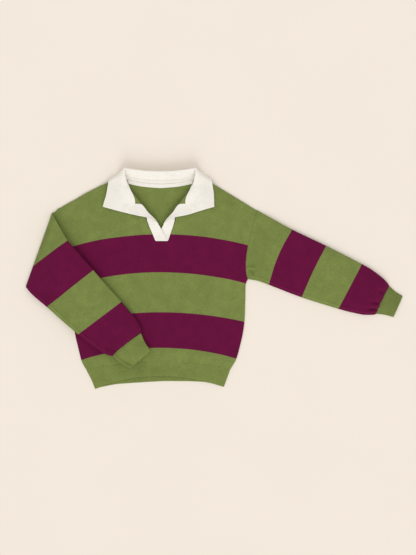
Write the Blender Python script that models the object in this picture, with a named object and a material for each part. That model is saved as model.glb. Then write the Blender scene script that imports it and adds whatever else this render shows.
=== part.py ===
"""Knit polo shirt laid flat with its front up. One sleeve lies spread out and the other is folded
over the front. Each sewn piece is one closed wall of cloth, made from the flat garment's own sizes.

Sizes in the tables are millimetres. X runs across the body from its centre line, Y runs up the body
from the front hem, and Z is the height above the surface that the shirt lies on."""

import math

import bmesh
import bpy
import numpy as np

MM = 0.001

# Cloth
CLOTH = 1.8
COLLAR_CLOTH = 2.0
STRIP_CLOTH = 1.4
TAPE_CLOTH = 1.0
GAP = 0.3
LOW = CLOTH / 2
PLY = CLOTH + GAP
EDGE_TURN = PLY / 2

# How far the upper layer stands off the lower one, and how it sinks towards the body's edges
BODY_LOFT = 3.0
SIDE_SINK_SHARE = 0.28
SHOULDER_SINK = 60.0
RIB_SINK = 24.0
RIB_LOFT_SHARE = 0.4
HEM_PUFF = 1.6
HEM_PUFF_ABOVE_RIB = 30.0
HEM_PUFF_SPREAD = 20.0
SLEEVE_LOFT = 4.0
TUCKED_LOFT = 1.0

# Body
RIB_SEAM_Y = 54.3
RIB_SEAM_DROP = 25.5
RIB_SEAM_HALF = 211.2
HEM_DROP = 23.0
HEM_HALF = 192.0
BACK_HEM_LONGER = 8.5
SHOULDER_TIP = (291.6, 504.5)
UNDERARM = (265.0, 297.0)
NECK_POINT = (112.0, 605.0)
BACK_NECK_Y = 578.0
ARMHOLE_BOW = -14.0
SIDE_SEAM = [
    # x, y
    (211.2, 28.8),
    (228.9, 58.8),
    (241.5, 103.8),
    (249.5, 140.0),
    (254.1, 180.0),
    (256.0, 240.0),
    (257.5, 285.0),
    UNDERARM,
]
SHOULDER = [
    # x, y
    SHOULDER_TIP,
    (206.0, 557.0),
    (160.0, 584.0),
    NECK_POINT,
]
BACK_NECK = [
    # x, y
    NECK_POINT,
    (98.0, 590.5),
    (52.0, 582.0),
    (0.0, BACK_NECK_Y),
]
# Front neck edge from the neck point down, then the placket's seam down to the slit's foot
FRONT_NECK = [
    # x, y
    NECK_POINT,
    (99.0, 584.0),
    (92.0, 569.0),
    (53.0, 520.0),
    (46.5, 502.0),
    (44.6, 485.0),
    (43.3, 473.5),
    (34.0, 448.8),
    (19.8, 412.1),
]
# The neck and the placket lie a little to one side of the body's centre line
LEAN = [
    # y, shift in x
    (412.0, 7.0),
    (450.0, 5.7),
    (480.0, 4.6),
    (520.0, 3.0),
]
LEAN_STARTS_Y = 330.0
LEAN_GROWS_OVER = 80.0
LEAN_HALF = 115.0
LEAN_FADES_OVER = 60.0
# The collar's points lie a little to the other side
COLLAR_POINT_LEAN = -5.0
COLLAR_POINT_X = 75.0
COLLAR_POINT_Y = 510.0
COLLAR_POINT_OVER = (60.0, 50.0)

# The neck stands off the surface, because the collar's leaf lies folded under it
NECK_RISE = 2.7
NECK_RISE_FROM_Y = 488.0
NECK_RISE_OVER = 72.0
NECK_RISE_HALF = 152.0
NECK_RISE_SIDE = 38.0

# Collar, half of it from the back's centre to the front end
COLLAR = [
    # seam x, y, z, roll centre x, y, z, roll radius, outward deg, turn from, turn to, outer x, y, z
    (0, 579.5, 3.4, 0, 616.5, 14.0, 3.4, 90, 90, -90, 0, 561, 1.0),
    (50, 583.3, 3.4, 50, 619.0, 14.0, 3.4, 88, 90, -90, 55, 563, 1.0),
    (80, 588.0, 3.5, 84, 623.5, 14.5, 3.4, 80, 95, -85, 92, 570, 1.0),
    (93, 591.5, 3.8, 97, 626.0, 15.5, 3.4, 66, 105, -75, 120, 579, 1.0),
    (101, 597.0, 4.2, 102, 626.0, 16.0, 3.4, 48, 120, -60, 146, 600, 1.0),
    (108, 603.5, 5.0, 104.5, 621.5, 16.0, 3.4, 25, 140, -30, 153.5, 597, 5.0),
    (107, 600.5, 6.0, 105, 613.0, 15.0, 3.2, 5, 160, 20, 155, 587, 8.0),
    (100.8, 590.0, 7.0, 105.0, 599.0, 13.5, 3.0, -10, 175, 45, 157, 575, 8.0),
    (94.8, 579.0, 8.0, 101.0, 585.0, 12.5, 2.8, -20, 180, 60, 159.5, 560, 8.0),
    (88.3, 565.5, 9.5, 94.0, 568.5, 12.0, 2.6, -25, 180, 70, 162, 543, 8.0),
    (80.5, 548.5, 10.0, 82.5, 549.0, 11.5, 2.2, -25, 175, 80, 164.5, 529, 8.0),
    (75.0, 535.0, 10.0, 78.0, 535.0, 11.0, 1.8, -15, 165, 85, 165.5, 522, 8.0),
    (76.5, 527.3, 10.0, 79.5, 527.0, 11.0, 1.6, -5, 140, 90, 166, 518, 8.0),
    (89.0, 520.5, 10.0, 92.0, 520.0, 11.0, 1.4, 0, 110, 90, 166.3, 516, 8.0),
    (92.6, 494.0, 10.0, 95.6, 494.5, 11.0, 1.4, 15, 110, 90, 166.6, 514.5, 8.0),
]
COLLAR_STATION_COLUMNS = 13
ROLL_POINTS = 5
LEAF_SHARES = (0.14, 0.28, 0.42, 0.56, 0.78, 1.0)
LEAF_LIES_FROM = 0.5
LEAF_CLEAR = 0.7
# Stations, counted in table rows from the back's centre, from which the leaf and then the whole
# collar lies on the front panel
LEAF_ON_FRONT_FROM, LEAF_ON_FRONT_OVER = 5.2, 0.8
COLLAR_ON_FRONT_FROM, COLLAR_ON_FRONT_OVER = 8.0, 0.7

# Placket strips, half-plan mirrored for the other one
STRIP = [
    # seam x, y, crease x, y, free edge x, y, base above the front panel's level
    (18.8, 412.5, -18.2, 412.5, -18.2, 412.5, 0.0),
    (33.0, 448.8, 0.0, 448.8, 0.0, 448.8, 0.0),
    (38.0, 463.0, 13.3, 474.3, 13.3, 474.3, 0.0),
    (41.8, 473.5, 26.5, 485.5, 32.0, 481.0, 0.3),
    (43.0, 491.5, 37.5, 498.3, 51.0, 483.8, 1.0),
    (50.5, 506.5, 47.0, 511.8, 61.0, 486.0, 2.8),
    (58.5, 516.0, 56.5, 521.5, 71.0, 488.5, 2.8),
    (73.5, 517.5, 73.5, 522.6, 81.5, 491.0, 2.8),
    (80.4, 515.0, 80.4, 520.0, 86.0, 492.2, 2.8),
    (86.0, 511.5, 86.0, 516.6, 90.0, 493.4, 2.8),
]
STRIP_POINTS = 5
STRIP_TURN = 1.3
STRIP_TURNED_FROM = 7.0
STRIP_LEVEL_FROM_Y = 490.0
OPENING_FOOT_Y = 449.0

# Sleeves. The armhole end follows the body's armhole, so its row stands first.
ARMHOLE_END = (SHOULDER_TIP[0], SHOULDER_TIP[1], UNDERARM[0], UNDERARM[1], ARMHOLE_BOW, 0.0)
SPREAD_SLEEVE = [
    # top edge x, y, underarm edge x, y, bow, loft
    ARMHOLE_END,
    (342.0, 476.0, 296.0, 294.5, -11.0, 2.6),
    (397.2, 445.8, 329.4, 285.6, -8.0, SLEEVE_LOFT),
    (498.9, 397.2, 427.2, 246.6, -3.0, SLEEVE_LOFT),
    (605.7, 342.6, 536.4, 210.9, 0.0, 5.0),
    (641.0, 324.0, 577.0, 199.5, 2.0, 7.5),
    (669.3, 302.4, 619.2, 190.8, 3.0, 10.0),
    (684.0, 288.0, 641.5, 190.5, 0.0, 8.5),
    (689.6, 279.5, 649.6, 194.8, -2.0, 3.2),
]
SPREAD_CUFF = [
    # top edge x, y, underarm edge x, y, bow, loft
    (690.4, 277.5, 651.0, 195.6, -2.0, 3.2),
    (708.0, 262.5, 676.0, 193.5, 0.0, 3.4),
    (726.9, 250.8, 699.6, 186.9, 0.0, 2.6),
]
# The folded sleeve as it would lie before the fold, on the other side of the body
FOLDED_SLEEVE = [
    # top edge x, y, underarm edge x, y, bow, loft
    (411.6, 461.0, 431.0, 271.4, 0.0, 3.0),
    (468.0, 451.5, 459.0, 270.6, 0.0, SLEEVE_LOFT),
    (525.9, 441.6, 492.0, 270.3, 0.0, SLEEVE_LOFT),
    (588.0, 431.5, 548.7, 267.7, 0.0, SLEEVE_LOFT),
    (650.5, 421.4, 613.2, 266.9, 0.0, 4.5),
    (690.0, 413.8, 664.9, 268.0, 0.0, 5.5),
    (723.9, 406.4, 706.6, 272.2, 2.0, 7.0),
    (746.0, 396.0, 727.0, 279.0, 0.0, 6.5),
    (755.0, 386.2, 733.5, 284.2, -3.0, 3.0),
]
FOLDED_CUFF = [
    # top edge x, y, underarm edge x, y, bow, loft
    (756.4, 384.6, 735.0, 285.0, -3.0, 3.0),
    (781.4, 372.2, 762.0, 282.5, 0.0, 3.2),
    (810.2, 364.4, 797.6, 289.8, 0.0, 2.4),
]
# The fold's outer edge, at the shoulder end and at the underarm end
FOLD_TOP = (322.5, 494.7)
FOLD_FOOT = (400.5, 276.0)
TOP_EDGE_SLOPE = -0.36
UNDERARM_EDGE_SLOPE = -0.15
# Rows that lie along the fold, by their distance past its start in turns of the cloth
FOLD_ROWS = (-0.8, 0.0, 0.17, 0.33, 0.5, 0.67, 0.83, 1.0, 1.4, 3.5)
TUCK_SINK = 40.0
# Past the fold the upper layer settles on what it lies on, and then bulges
SETTLES_OVER = 12.0
BULGE_FROM, BULGE_OVER = 20.0, 45.0
# Past the body's edge the folded sleeve sinks to the surface
BODY_EDGE_REACH, BODY_EDGE_OVER = 6.0, 24.0
SAG_FROM_EDGE, SAG_BELOW_FOOT, SAG_OVER = 2.0, 10.0, 34.0
# Room for the facets of pieces that lie on each other
CLEAR = 0.8
SLEEVE_CLEAR = 0.4

# The tape over the back neck seam
TAPE_SHARE = 0.96
TAPE_SECTION = [
    # from the seam, above the back panel
    (-7.0, 0.0),
    (-2.0, 0.3),
    (3.5, 1.7),
]

GATHERS = 4
GATHER_HEIGHT = 1.6
GATHER_ROWS = (0.3, 1.0, 0.75, 0.45, 0.2)

# Mesh rows and columns. The shoulders' and the neck edge's columns spread over these shares of the
# rib seam's half length.
SHOULDER_REACH = 0.36
FOOT_REACH = 0.06
SHOULDER_COLUMNS = 6
BACK_NECK_COLUMNS = 7
FRONT_NECK_COLUMNS = 10
FOOT_COLUMNS = 2
SIDE_ROWS = 7
ARMHOLE_ROWS = 9
SLEEVE_COLUMNS = 13
HIDDEN_COLUMNS = 5
TURN_POINTS = 3
SPREAD_RINGS = 19
FOLDED_RINGS = 14
TUCKED_RINGS = 4
CUFF_RINGS = 3
HEM_COLUMNS = 20
HEM_RINGS = 3
COLLAR_STATIONS = 38
STAND_POINTS = 3
STRIP_STATIONS = 22


def smooth(t):
    """Eases from 0 to 1 as t goes from 0 to 1."""
    t = np.clip(t, 0.0, 1.0)
    return t * t * (3.0 - 2.0 * t)


def through(rows, at):
    """A smooth curve through a table's rows, read at row numbers that may lie between rows."""
    rows = np.asarray(rows, float)
    at = np.asarray(at, float)
    slope = np.gradient(rows, axis=0)
    step = np.diff(rows, axis=0)
    slope[1:-1] = np.where(step[:-1] * step[1:] <= 0.0, 0.0, slope[1:-1])
    first = np.clip(np.floor(at).astype(int), 0, len(rows) - 2)
    t = (at - first)[:, None]
    a, b = rows[first], rows[first + 1]
    return (
        a * (1 + 2 * t) * (1 - t) ** 2
        + b * t * t * (3 - 2 * t)
        + slope[first] * t * (1 - t) ** 2
        - slope[first + 1] * t * t * (1 - t)
    )


def along(rows, count, columns=2):
    """count row numbers, evenly spaced by the length of the table's first columns."""
    fine = np.linspace(0.0, len(rows) - 1.0, 400)
    points = through(np.asarray(rows, float)[:, :columns], fine)
    length = np.concatenate([[0.0], np.cumsum(np.linalg.norm(np.diff(points, axis=0), axis=1))])
    return np.interp(np.linspace(0.0, length[-1], count), length, fine)


def evenly(rows, count):
    return through(rows, along(rows, count))


# Heights of the body's two layers over any point of the plan

SIDE_LINE = evenly(SIDE_SEAM, 60)
SHOULDER_LINE = evenly(SHOULDER, 60)[::-1]


def armhole(count):
    """The armhole of the +X side, from the underarm up to the shoulder's tip."""
    t = np.linspace(0.0, 1.0, count)[:, None]
    low, high = np.array(UNDERARM), np.array(SHOULDER_TIP)
    across = (high - low) / np.linalg.norm(high - low)
    outward = np.array([across[1], -across[0]])
    return low + (high - low) * t + outward * (ARMHOLE_BOW * np.sin(math.pi * t))


ARMHOLE_LINE = armhole(60)


def half_width(y):
    edge = np.vstack([SIDE_LINE, ARMHOLE_LINE])
    return np.interp(y, np.maximum.accumulate(edge[:, 1]), edge[:, 0])


def shoulder_height(x):
    return np.interp(np.abs(x), SHOULDER_LINE[:, 0], SHOULDER_LINE[:, 1])


def neck_rise(x, y):
    up = smooth((y - NECK_RISE_FROM_Y) / NECK_RISE_OVER)
    side = 1.0 - smooth((np.abs(x) - NECK_RISE_HALF) / NECK_RISE_SIDE)
    return NECK_RISE * up * side


def body_loft(x, y):
    inside = smooth((1.0 - np.abs(x) / half_width(y)) / SIDE_SINK_SHARE)
    under_shoulder = smooth((shoulder_height(x) - y) / SHOULDER_SINK)
    above_rib = y + RIB_SEAM_DROP * (x / RIB_SEAM_HALF) ** 2 - RIB_SEAM_Y
    puff = HEM_PUFF * np.exp(-(((above_rib - HEM_PUFF_ABOVE_RIB) / HEM_PUFF_SPREAD) ** 2))
    held = RIB_LOFT_SHARE + (1.0 - RIB_LOFT_SHARE) * smooth(above_rib / RIB_SINK)
    return (BODY_LOFT + puff) * held * inside * under_shoulder


def back_height(x, y):
    return LOW + neck_rise(x, y)


def front_height(x, y):
    return back_height(x, y) + PLY + body_loft(x, y)


# Walls of cloth

def sheet_faces(rows, columns, ring):
    faces = []
    for i in range(rows - 1):
        for j in range(columns if ring else columns - 1):
            k = (j + 1) % columns
            faces.append((i * columns + j, i * columns + k, (i + 1) * columns + k, (i + 1) * columns + j))
    return faces


def wall(name, grid, thickness, material, ring=False, flip=False):
    """A closed wall of even thickness on a grid of points, given in millimetres. A ring's last
    column joins its first, and the wall is then open only at its two ends."""
    rows, columns = grid.shape[:2]
    mesh = bpy.data.meshes.new(name)
    shape = bmesh.new()
    points = [shape.verts.new(point * MM) for point in grid.reshape(-1, 3)]
    for face in sheet_faces(rows, columns, ring):
        shape.faces.new([points[i] for i in (reversed(face) if flip else face)])
    shape.to_mesh(mesh)
    shape.free()
    mesh.materials.append(material)
    piece = bpy.data.objects.new(name, mesh)
    bpy.context.scene.collection.objects.link(piece)
    cloth = piece.modifiers.new("cloth", "SOLIDIFY")
    cloth.thickness = thickness * MM
    cloth.offset = 0.0
    cloth.use_rim = True
    cloth.use_even_offset = False
    mesh.shade_smooth()
    return piece


def coons(bottom, top, left, right):
    """Fills four edges with rows that pass smoothly from the bottom one to the top one."""
    rows, columns = len(left), len(bottom)
    u = np.linspace(0.0, 1.0, columns)[None, :, None]
    v = np.linspace(0.0, 1.0, rows)[:, None, None]
    across = (1 - u) * left[:, None] + u * right[:, None]
    upward = (1 - v) * bottom[None] + v * top[None]
    corners = (
        (1 - u) * (1 - v) * left[0]
        + u * (1 - v) * right[0]
        + (1 - u) * v * left[-1]
        + u * v * right[-1]
    )
    return across + upward - corners


def panel_plan(neck, neck_columns, foot_columns):
    """Plan of a body panel: columns run from the rib seam up to the shoulder and neck edge."""
    shoulder = evenly(SHOULDER, SHOULDER_COLUMNS + 1)
    neck_edge = evenly(neck, neck_columns + 1)
    half = np.vstack([shoulder, neck_edge[1:]])
    inner_reach = FOOT_REACH if foot_columns else 0.0
    reach = np.linspace(1.0, SHOULDER_REACH, SHOULDER_COLUMNS + 1)
    reach = np.concatenate([reach, np.linspace(SHOULDER_REACH, inner_reach, neck_columns + 1)[1:]])
    middle = np.linspace(-1.0, 1.0, foot_columns + 1)[1:-1]
    foot = np.column_stack([middle * half[-1][0], np.full(len(middle), half[-1][1])])
    other_half = half[::-1] if foot_columns else half[::-1][1:]
    top = np.vstack([half * np.array([-1.0, 1.0]), foot, other_half])
    u = np.concatenate([-reach, middle * inner_reach, reach[::-1][-len(other_half) :]])
    side = evenly(SIDE_SEAM, SIDE_ROWS + 1)
    sleeve_edge = armhole(ARMHOLE_ROWS + 1)
    right = np.vstack([side, sleeve_edge[1:]])
    right[-1] = half[0]
    left = right * np.array([-1.0, 1.0])
    bottom = np.stack([u * RIB_SEAM_HALF, RIB_SEAM_Y + GAP - RIB_SEAM_DROP * u * u], axis=1)
    left[0], right[0] = bottom[0], bottom[-1]
    return coons(bottom, top, left, right)


def add_height(plan, height):
    return np.concatenate([plan, height(plan[..., 0], plan[..., 1])[..., None]], axis=2)


def lean_at(y):
    table = np.array(LEAN)
    return np.interp(y, table[:, 0], table[:, 1])


def lean_panel(plan):
    """Moves the part of a panel near the neck and the placket to its side of the centre line."""
    x, y = plan[..., 0], plan[..., 1]
    near = 1.0 - smooth((np.abs(x) - LEAN_HALF) / LEAN_FADES_OVER)
    plan[..., 0] += near * smooth((y - LEAN_STARTS_Y) / LEAN_GROWS_OVER) * lean_at(y)
    return plan


def lean_collar(plan):
    """Moves the collar or a strip with the panel under it, and the collar's points the other way."""
    x, y = plan[..., 0], plan[..., 1]
    over_x, over_y = COLLAR_POINT_OVER
    point = smooth((np.abs(x) - COLLAR_POINT_X) / over_x) * (1.0 - smooth((y - COLLAR_POINT_Y) / over_y))
    plan[..., 0] += lean_at(y) + COLLAR_POINT_LEAN * point
    return plan


def front_panel(material):
    plan = lean_panel(panel_plan(FRONT_NECK, FRONT_NECK_COLUMNS, FOOT_COLUMNS))
    return wall("front", add_height(plan, front_height), CLOTH, material)


def back_panel(material):
    plan = lean_panel(panel_plan(BACK_NECK, BACK_NECK_COLUMNS, 0))
    return wall("back", add_height(plan, back_height), CLOTH, material)


# Tubes: sleeves, cuffs and the hem's rib

def flat_ring(width, upper_columns, lower_columns):
    """Section of a flattened tube, across from 0 to width: its upper layer, a turn, its lower layer
    and a turn. Gives the distance across, the height, and 1, -1 or 0 for upper, lower or turn."""
    ends = LOW + EDGE_TURN
    angle = np.linspace(0.0, math.pi, TURN_POINTS + 2)[1:-1]
    upper = [(a, LOW + PLY, 1) for a in np.linspace(ends, width - ends, upper_columns)]
    far = [(width - ends + EDGE_TURN * math.sin(a), LOW + EDGE_TURN * (1 + math.cos(a)), 0) for a in angle]
    lower = [(a, LOW, -1) for a in np.linspace(width - ends, ends, lower_columns)]
    near = [(ends - EDGE_TURN * math.sin(a), LOW + EDGE_TURN * (1 - math.cos(a)), 0) for a in angle]
    return np.array(upper + far + lower + near)


def tube(stations, upper_columns, lower_columns, gathers=0.0):
    """Rings of a flat tube, each from its underarm edge to its top edge. Gives their plan and height,
    the layer of each point, and how far the layer bulges there."""
    plans, heights, bulges = [], [], []
    for number, (top_x, top_y, under_x, under_y, bow, loft) in enumerate(stations):
        foot, head = np.array([under_x, under_y]), np.array([top_x, top_y])
        width = np.linalg.norm(head - foot)
        across = (head - foot) / width
        onward = np.array([across[1], -across[0]])
        section = flat_ring(width, upper_columns, lower_columns)
        share = np.clip(section[:, 0] / width, 0.0, 1.0)
        plans.append(foot + across * section[:, :1] + onward * (bow * np.sin(math.pi * share))[:, None])
        heights.append(section[:, 1])
        before_end = len(stations) - 1 - number
        gathered = gathers * GATHER_ROWS[before_end] if before_end < len(GATHER_ROWS) else 0.0
        wave = gathered * np.cos(share * math.pi * 2 * GATHERS) * np.sin(math.pi * share)
        bulges.append(loft * (1.0 - (2.0 * share - 1.0) ** 4) + wave)
    return np.array(plans), np.array(heights), section[:, 2], np.array(bulges)


def spread(tube_points):
    plan, height, layer, bulge = tube_points
    return np.concatenate([plan, (height + bulge * (layer > 0))[..., None]], axis=2)


def to_minus_x(grid):
    return grid * np.array([-1.0, 1.0, 1.0])


# The fold of the sleeve that lies over the front

FOLD_AXIS_Z = LOW + PLY + CLOTH / 2 + GAP / 2
FOLD_WAY = (np.array(FOLD_FOOT) - FOLD_TOP) / np.linalg.norm(np.array(FOLD_FOOT) - FOLD_TOP)
FOLD_OUT = np.array([-FOLD_WAY[1], FOLD_WAY[0]])
FOLD_START = np.array(FOLD_TOP) - FOLD_OUT * FOLD_AXIS_Z
FOLD_ARC = math.pi * (FOLD_AXIS_Z - LOW - EDGE_TURN)
FOLDED_PLY_Z = 2 * FOLD_AXIS_Z - LOW - PLY


def fold_row(turns):
    """A row of the flat sleeve that lies along the fold, between the sleeve's two edges."""
    past = turns * FOLD_ARC - FOLD_AXIS_Z
    row = []
    for point, slope in ((FOLD_TOP, TOP_EDGE_SLOPE), (FOLD_FOOT, UNDERARM_EDGE_SLOPE)):
        edge = np.array([1.0, slope])
        row.extend(np.array(point) + edge * past / (edge @ FOLD_OUT))
    return (*row, 0.0, SLEEVE_LOFT * 0.5)


def under_folded_sleeve(x, y):
    """Height of the top of what the folded sleeve lies on. Outside the body and below the sleeve's
    own first stretch, it sinks to the surface."""
    before_fold = (FOLD_START - np.stack([x, y], axis=-1)) @ FOLD_OUT
    own_sleeve = LOW + PLY + CLOTH / 2 + TUCKED_LOFT * smooth(before_fold / TUCK_SINK)
    on_body = smooth((half_width(y) + BODY_EDGE_REACH - x) / BODY_EDGE_OVER)
    body = (front_height(x, y) + CLOTH / 2 + CLEAR) * on_body
    outside = np.minimum(x - half_width(y) - SAG_FROM_EDGE, FOLD_FOOT[1] + SAG_BELOW_FOOT - y)
    return np.maximum(own_sleeve, body) * (1.0 - smooth(outside / SAG_OVER)) + SLEEVE_CLEAR


def folded(tube_points):
    """Folds a flat tube over along the fold's line, worked out on the +X side. The layer that comes
    out on top takes the bulge."""
    plan, height, layer, bulge = tube_points
    past = (plan - FOLD_START) @ FOLD_OUT
    line = plan - FOLD_OUT * past[..., None]
    tucked = np.minimum(bulge, TUCKED_LOFT) * smooth(-past / TUCK_SINK) * (layer > 0)
    turned_up = bulge * smooth((past - BULGE_FROM) / BULGE_OVER) * (layer < 0)
    level = height + tucked
    angle = np.clip(past * math.pi / FOLD_ARC, 0.0, math.pi)
    radius = FOLD_AXIS_Z - level
    out = np.where(past < 0.0, past, np.where(past < FOLD_ARC, radius * np.sin(angle), FOLD_ARC - past))
    z = np.where(past < 0.0, level, FOLD_AXIS_Z - radius * np.cos(angle))
    seen = line + FOLD_OUT * out[..., None]
    rest = under_folded_sleeve(seen[..., 0], seen[..., 1]) + GAP + CLOTH / 2
    settled = smooth((past - FOLD_ARC) / SETTLES_OVER)
    z = z + (rest - FOLDED_PLY_Z) * settled + turned_up
    return np.concatenate([seen, z[..., None]], axis=-1)


def table_rows(table, count):
    return through(table, np.linspace(0.0, len(table) - 1.0, count))


def sleeves(jersey):
    rings = table_rows(SPREAD_SLEEVE, SPREAD_RINGS)
    points = tube(rings, SLEEVE_COLUMNS, HIDDEN_COLUMNS, GATHER_HEIGHT)
    points[0][0] += np.array([2 * GAP, 0.0])
    wall("spread_sleeve", spread(points), CLOTH, jersey, ring=True)

    fold_rows = [fold_row(turns) for turns in FOLD_ROWS]
    tucked_rings = table_rows([ARMHOLE_END, fold_rows[0]], TUCKED_RINGS)[:-1]
    folded_rings = table_rows(FOLDED_SLEEVE, FOLDED_RINGS)
    rings = np.vstack([tucked_rings, fold_rows, folded_rings])
    points = tube(rings, HIDDEN_COLUMNS, SLEEVE_COLUMNS, GATHER_HEIGHT)
    points[0][0] += np.array([2 * GAP, 0.0])
    wall("folded_sleeve", to_minus_x(folded(points)), CLOTH, jersey, ring=True, flip=True)


def cuffs(rib):
    points = tube(table_rows(SPREAD_CUFF, CUFF_RINGS), SLEEVE_COLUMNS, HIDDEN_COLUMNS)
    wall("spread_cuff", spread(points), CLOTH, rib, ring=True)
    points = tube(table_rows(FOLDED_CUFF, CUFF_RINGS), HIDDEN_COLUMNS, SLEEVE_COLUMNS)
    wall("folded_cuff", to_minus_x(folded(points)), CLOTH, rib, ring=True, flip=True)


def hem_rib(rib):
    grid = []
    for share in np.linspace(0.0, 1.0, HEM_RINGS):
        half = RIB_SEAM_HALF + (HEM_HALF - RIB_SEAM_HALF) * share
        drop = RIB_SEAM_DROP + (HEM_DROP - RIB_SEAM_DROP) * share
        middle = RIB_SEAM_Y * (1.0 - share)
        section = flat_ring(2 * half, HEM_COLUMNS, HEM_COLUMNS)
        is_upper = section[:, 2] > 0
        x = section[:, 0] - half
        y = middle - drop * (x / half) ** 2
        y = y - (1.0 - is_upper) * BACK_HEM_LONGER * share * (1.0 - (x / half) ** 2)
        loft = is_upper * body_loft(x * RIB_SEAM_HALF / half, RIB_SEAM_Y - RIB_SEAM_DROP * (x / half) ** 2)
        grid.append(np.column_stack([x, y, section[:, 1] + loft]))
    wall("hem_rib", np.array(grid), CLOTH, rib, ring=True, flip=True)


# Collar, placket and tape

def collar_section(row):
    """One section of the collar: up the stand from the neck seam, round the roll, down the leaf."""
    seam, centre, outer = row[0:3], row[3:6], row[10:13]
    radius, outward, turn_from, turn_to = row[6], math.radians(row[7]), row[8], row[9]
    out = np.array([math.cos(outward), math.sin(outward), 0.0])
    up = np.array([0.0, 0.0, 1.0])
    angles = np.radians(np.linspace(turn_from, turn_to, ROLL_POINTS))
    roll = np.array([centre + radius * (math.cos(a) * out + math.sin(a) * up) for a in angles])
    stand = np.array([seam + (roll[0] - seam) * t for t in np.linspace(0.0, 0.7, STAND_POINTS)])
    shares = np.array(LEAF_SHARES)
    leaf = np.array([roll[-1] + (outer - roll[-1]) * t for t in shares])
    leaf[:, 2] = outer[2] + (roll[-1][2] - outer[2]) * (1.0 - smooth(shares / LEAF_LIES_FROM))
    return np.vstack([stand, roll, leaf])


def collar(knit):
    at = along(COLLAR, COLLAR_STATIONS // 2 + 1, columns=COLLAR_STATION_COLUMNS)
    half = np.array([collar_section(row) for row in through(COLLAR, at)])
    other = half[::-1] * np.array([-1.0, 1.0, 1.0])
    grid = lean_collar(np.concatenate([other, half[1:]]))
    stations = np.concatenate([at[::-1], at[1:]])[:, None]
    is_leaf = np.arange(grid.shape[1]) >= STAND_POINTS
    leaf_on_front = smooth((stations - LEAF_ON_FRONT_FROM) / LEAF_ON_FRONT_OVER) * is_leaf
    all_on_front = smooth((stations - COLLAR_ON_FRONT_FROM) / COLLAR_ON_FRONT_OVER)
    on_front = np.maximum(leaf_on_front, all_on_front)
    lying = front_height(grid[..., 0], grid[..., 1]) + CLOTH / 2 + LEAF_CLEAR + COLLAR_CLOTH / 2
    grid[..., 2] += np.maximum(lying - grid[..., 2], 0.0) * on_front
    wall("collar", grid, COLLAR_CLOTH, knit)


def strip_section(row, step):
    """One section of a placket strip: in from its seam, then turned out over itself where it is.
    Below the opening's foot one strip steps over the other."""
    seam, crease, free, base = row[0:2], row[2:4], row[4:6], row[6]
    tilt = step * (1.0 - smooth((seam[1] - OPENING_FOOT_Y) / (STRIP_LEVEL_FROM_Y - OPENING_FOOT_Y)))
    inward = (crease - seam) / np.linalg.norm(crease - seam)
    turned = np.linalg.norm(free - crease)
    turn = min(math.pi, turned / STRIP_TURN)
    inner_end = crease - inward * STRIP_TURN * math.sin(min(turn, math.pi / 2))
    turn_end = inner_end + inward * STRIP_TURN * math.sin(turn)
    is_turned = smooth(turned / STRIP_TURNED_FROM)
    free = turn_end + (free - turn_end) * is_turned
    run, arc = np.linalg.norm(inner_end - seam), turn * STRIP_TURN
    lengths = (run, arc, np.linalg.norm(free - turn_end))
    stops = [0.0]
    for length in lengths:
        stops.extend(stops[-1] + np.linspace(0.0, length, STRIP_POINTS)[1:])
    even = np.linspace(0.0, stops[-1], len(stops))
    points = []
    for at in even + (np.array(stops) - even) * is_turned:
        angle = np.clip((at - run) / STRIP_TURN, 0.0, turn)
        place = seam + inward * (min(at, run) + STRIP_TURN * math.sin(angle))
        if at > run + arc:
            place = turn_end + (free - turn_end) * (at - run - arc) / lengths[2]
        height = base + tilt * min(at / run, 1.0) + STRIP_TURN * (1 - math.cos(angle))
        points.append((place, height))
    return points


def placket_strip(name, side, step, knit):
    rows = through(STRIP, along(STRIP, STRIP_STATIONS, columns=6))
    sections = [strip_section(row, step) for row in rows]
    grid = np.array([[(side * place[0], place[1], above) for place, above in points] for points in sections])
    grid = lean_collar(grid)
    grid[..., 2] += front_height(grid[..., 0], grid[..., 1])
    wall(name, grid, STRIP_CLOTH, knit, flip=side < 0)


def neck_tape(knit):
    half = evenly(BACK_NECK[1:], 9) * np.array([TAPE_SHARE, 1.0])
    edge = lean_panel(np.vstack([half * np.array([-1.0, 1.0]), half[::-1][1:]]))
    grid = []
    for x, y in edge:
        level = back_height(x, y) + CLOTH / 2 + GAP + TAPE_CLOTH / 2
        grid.append([(x, y + off, level + above) for off, above in TAPE_SECTION])
    wall("neck_tape", np.array(grid), TAPE_CLOTH, knit, flip=True)


def finish(name, colour, roughness):
    material = bpy.data.materials.new(name)
    material.use_nodes = True
    shader = material.node_tree.nodes["Principled BSDF"]
    shader.inputs["Base Color"].default_value = (*colour, 1.0)
    shader.inputs["Roughness"].default_value = roughness
    shader.inputs["Metallic"].default_value = 0.0
    return material


def stand_at_centre():
    """Moves every piece so that the shirt's box stands centred over the origin."""
    bpy.context.view_layer.update()
    graph = bpy.context.evaluated_depsgraph_get()
    pieces = [o for o in bpy.context.scene.objects if o.type == "MESH"]
    corners = np.array([v.co[:] for o in pieces for v in o.evaluated_get(graph).data.vertices])
    middle = (corners.min(axis=0) + corners.max(axis=0)) / 2
    shift = np.array([middle[0], middle[1], corners[:, 2].min()])
    for piece in pieces:
        for vertex in piece.data.vertices:
            vertex.co = np.array(vertex.co) - shift


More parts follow.
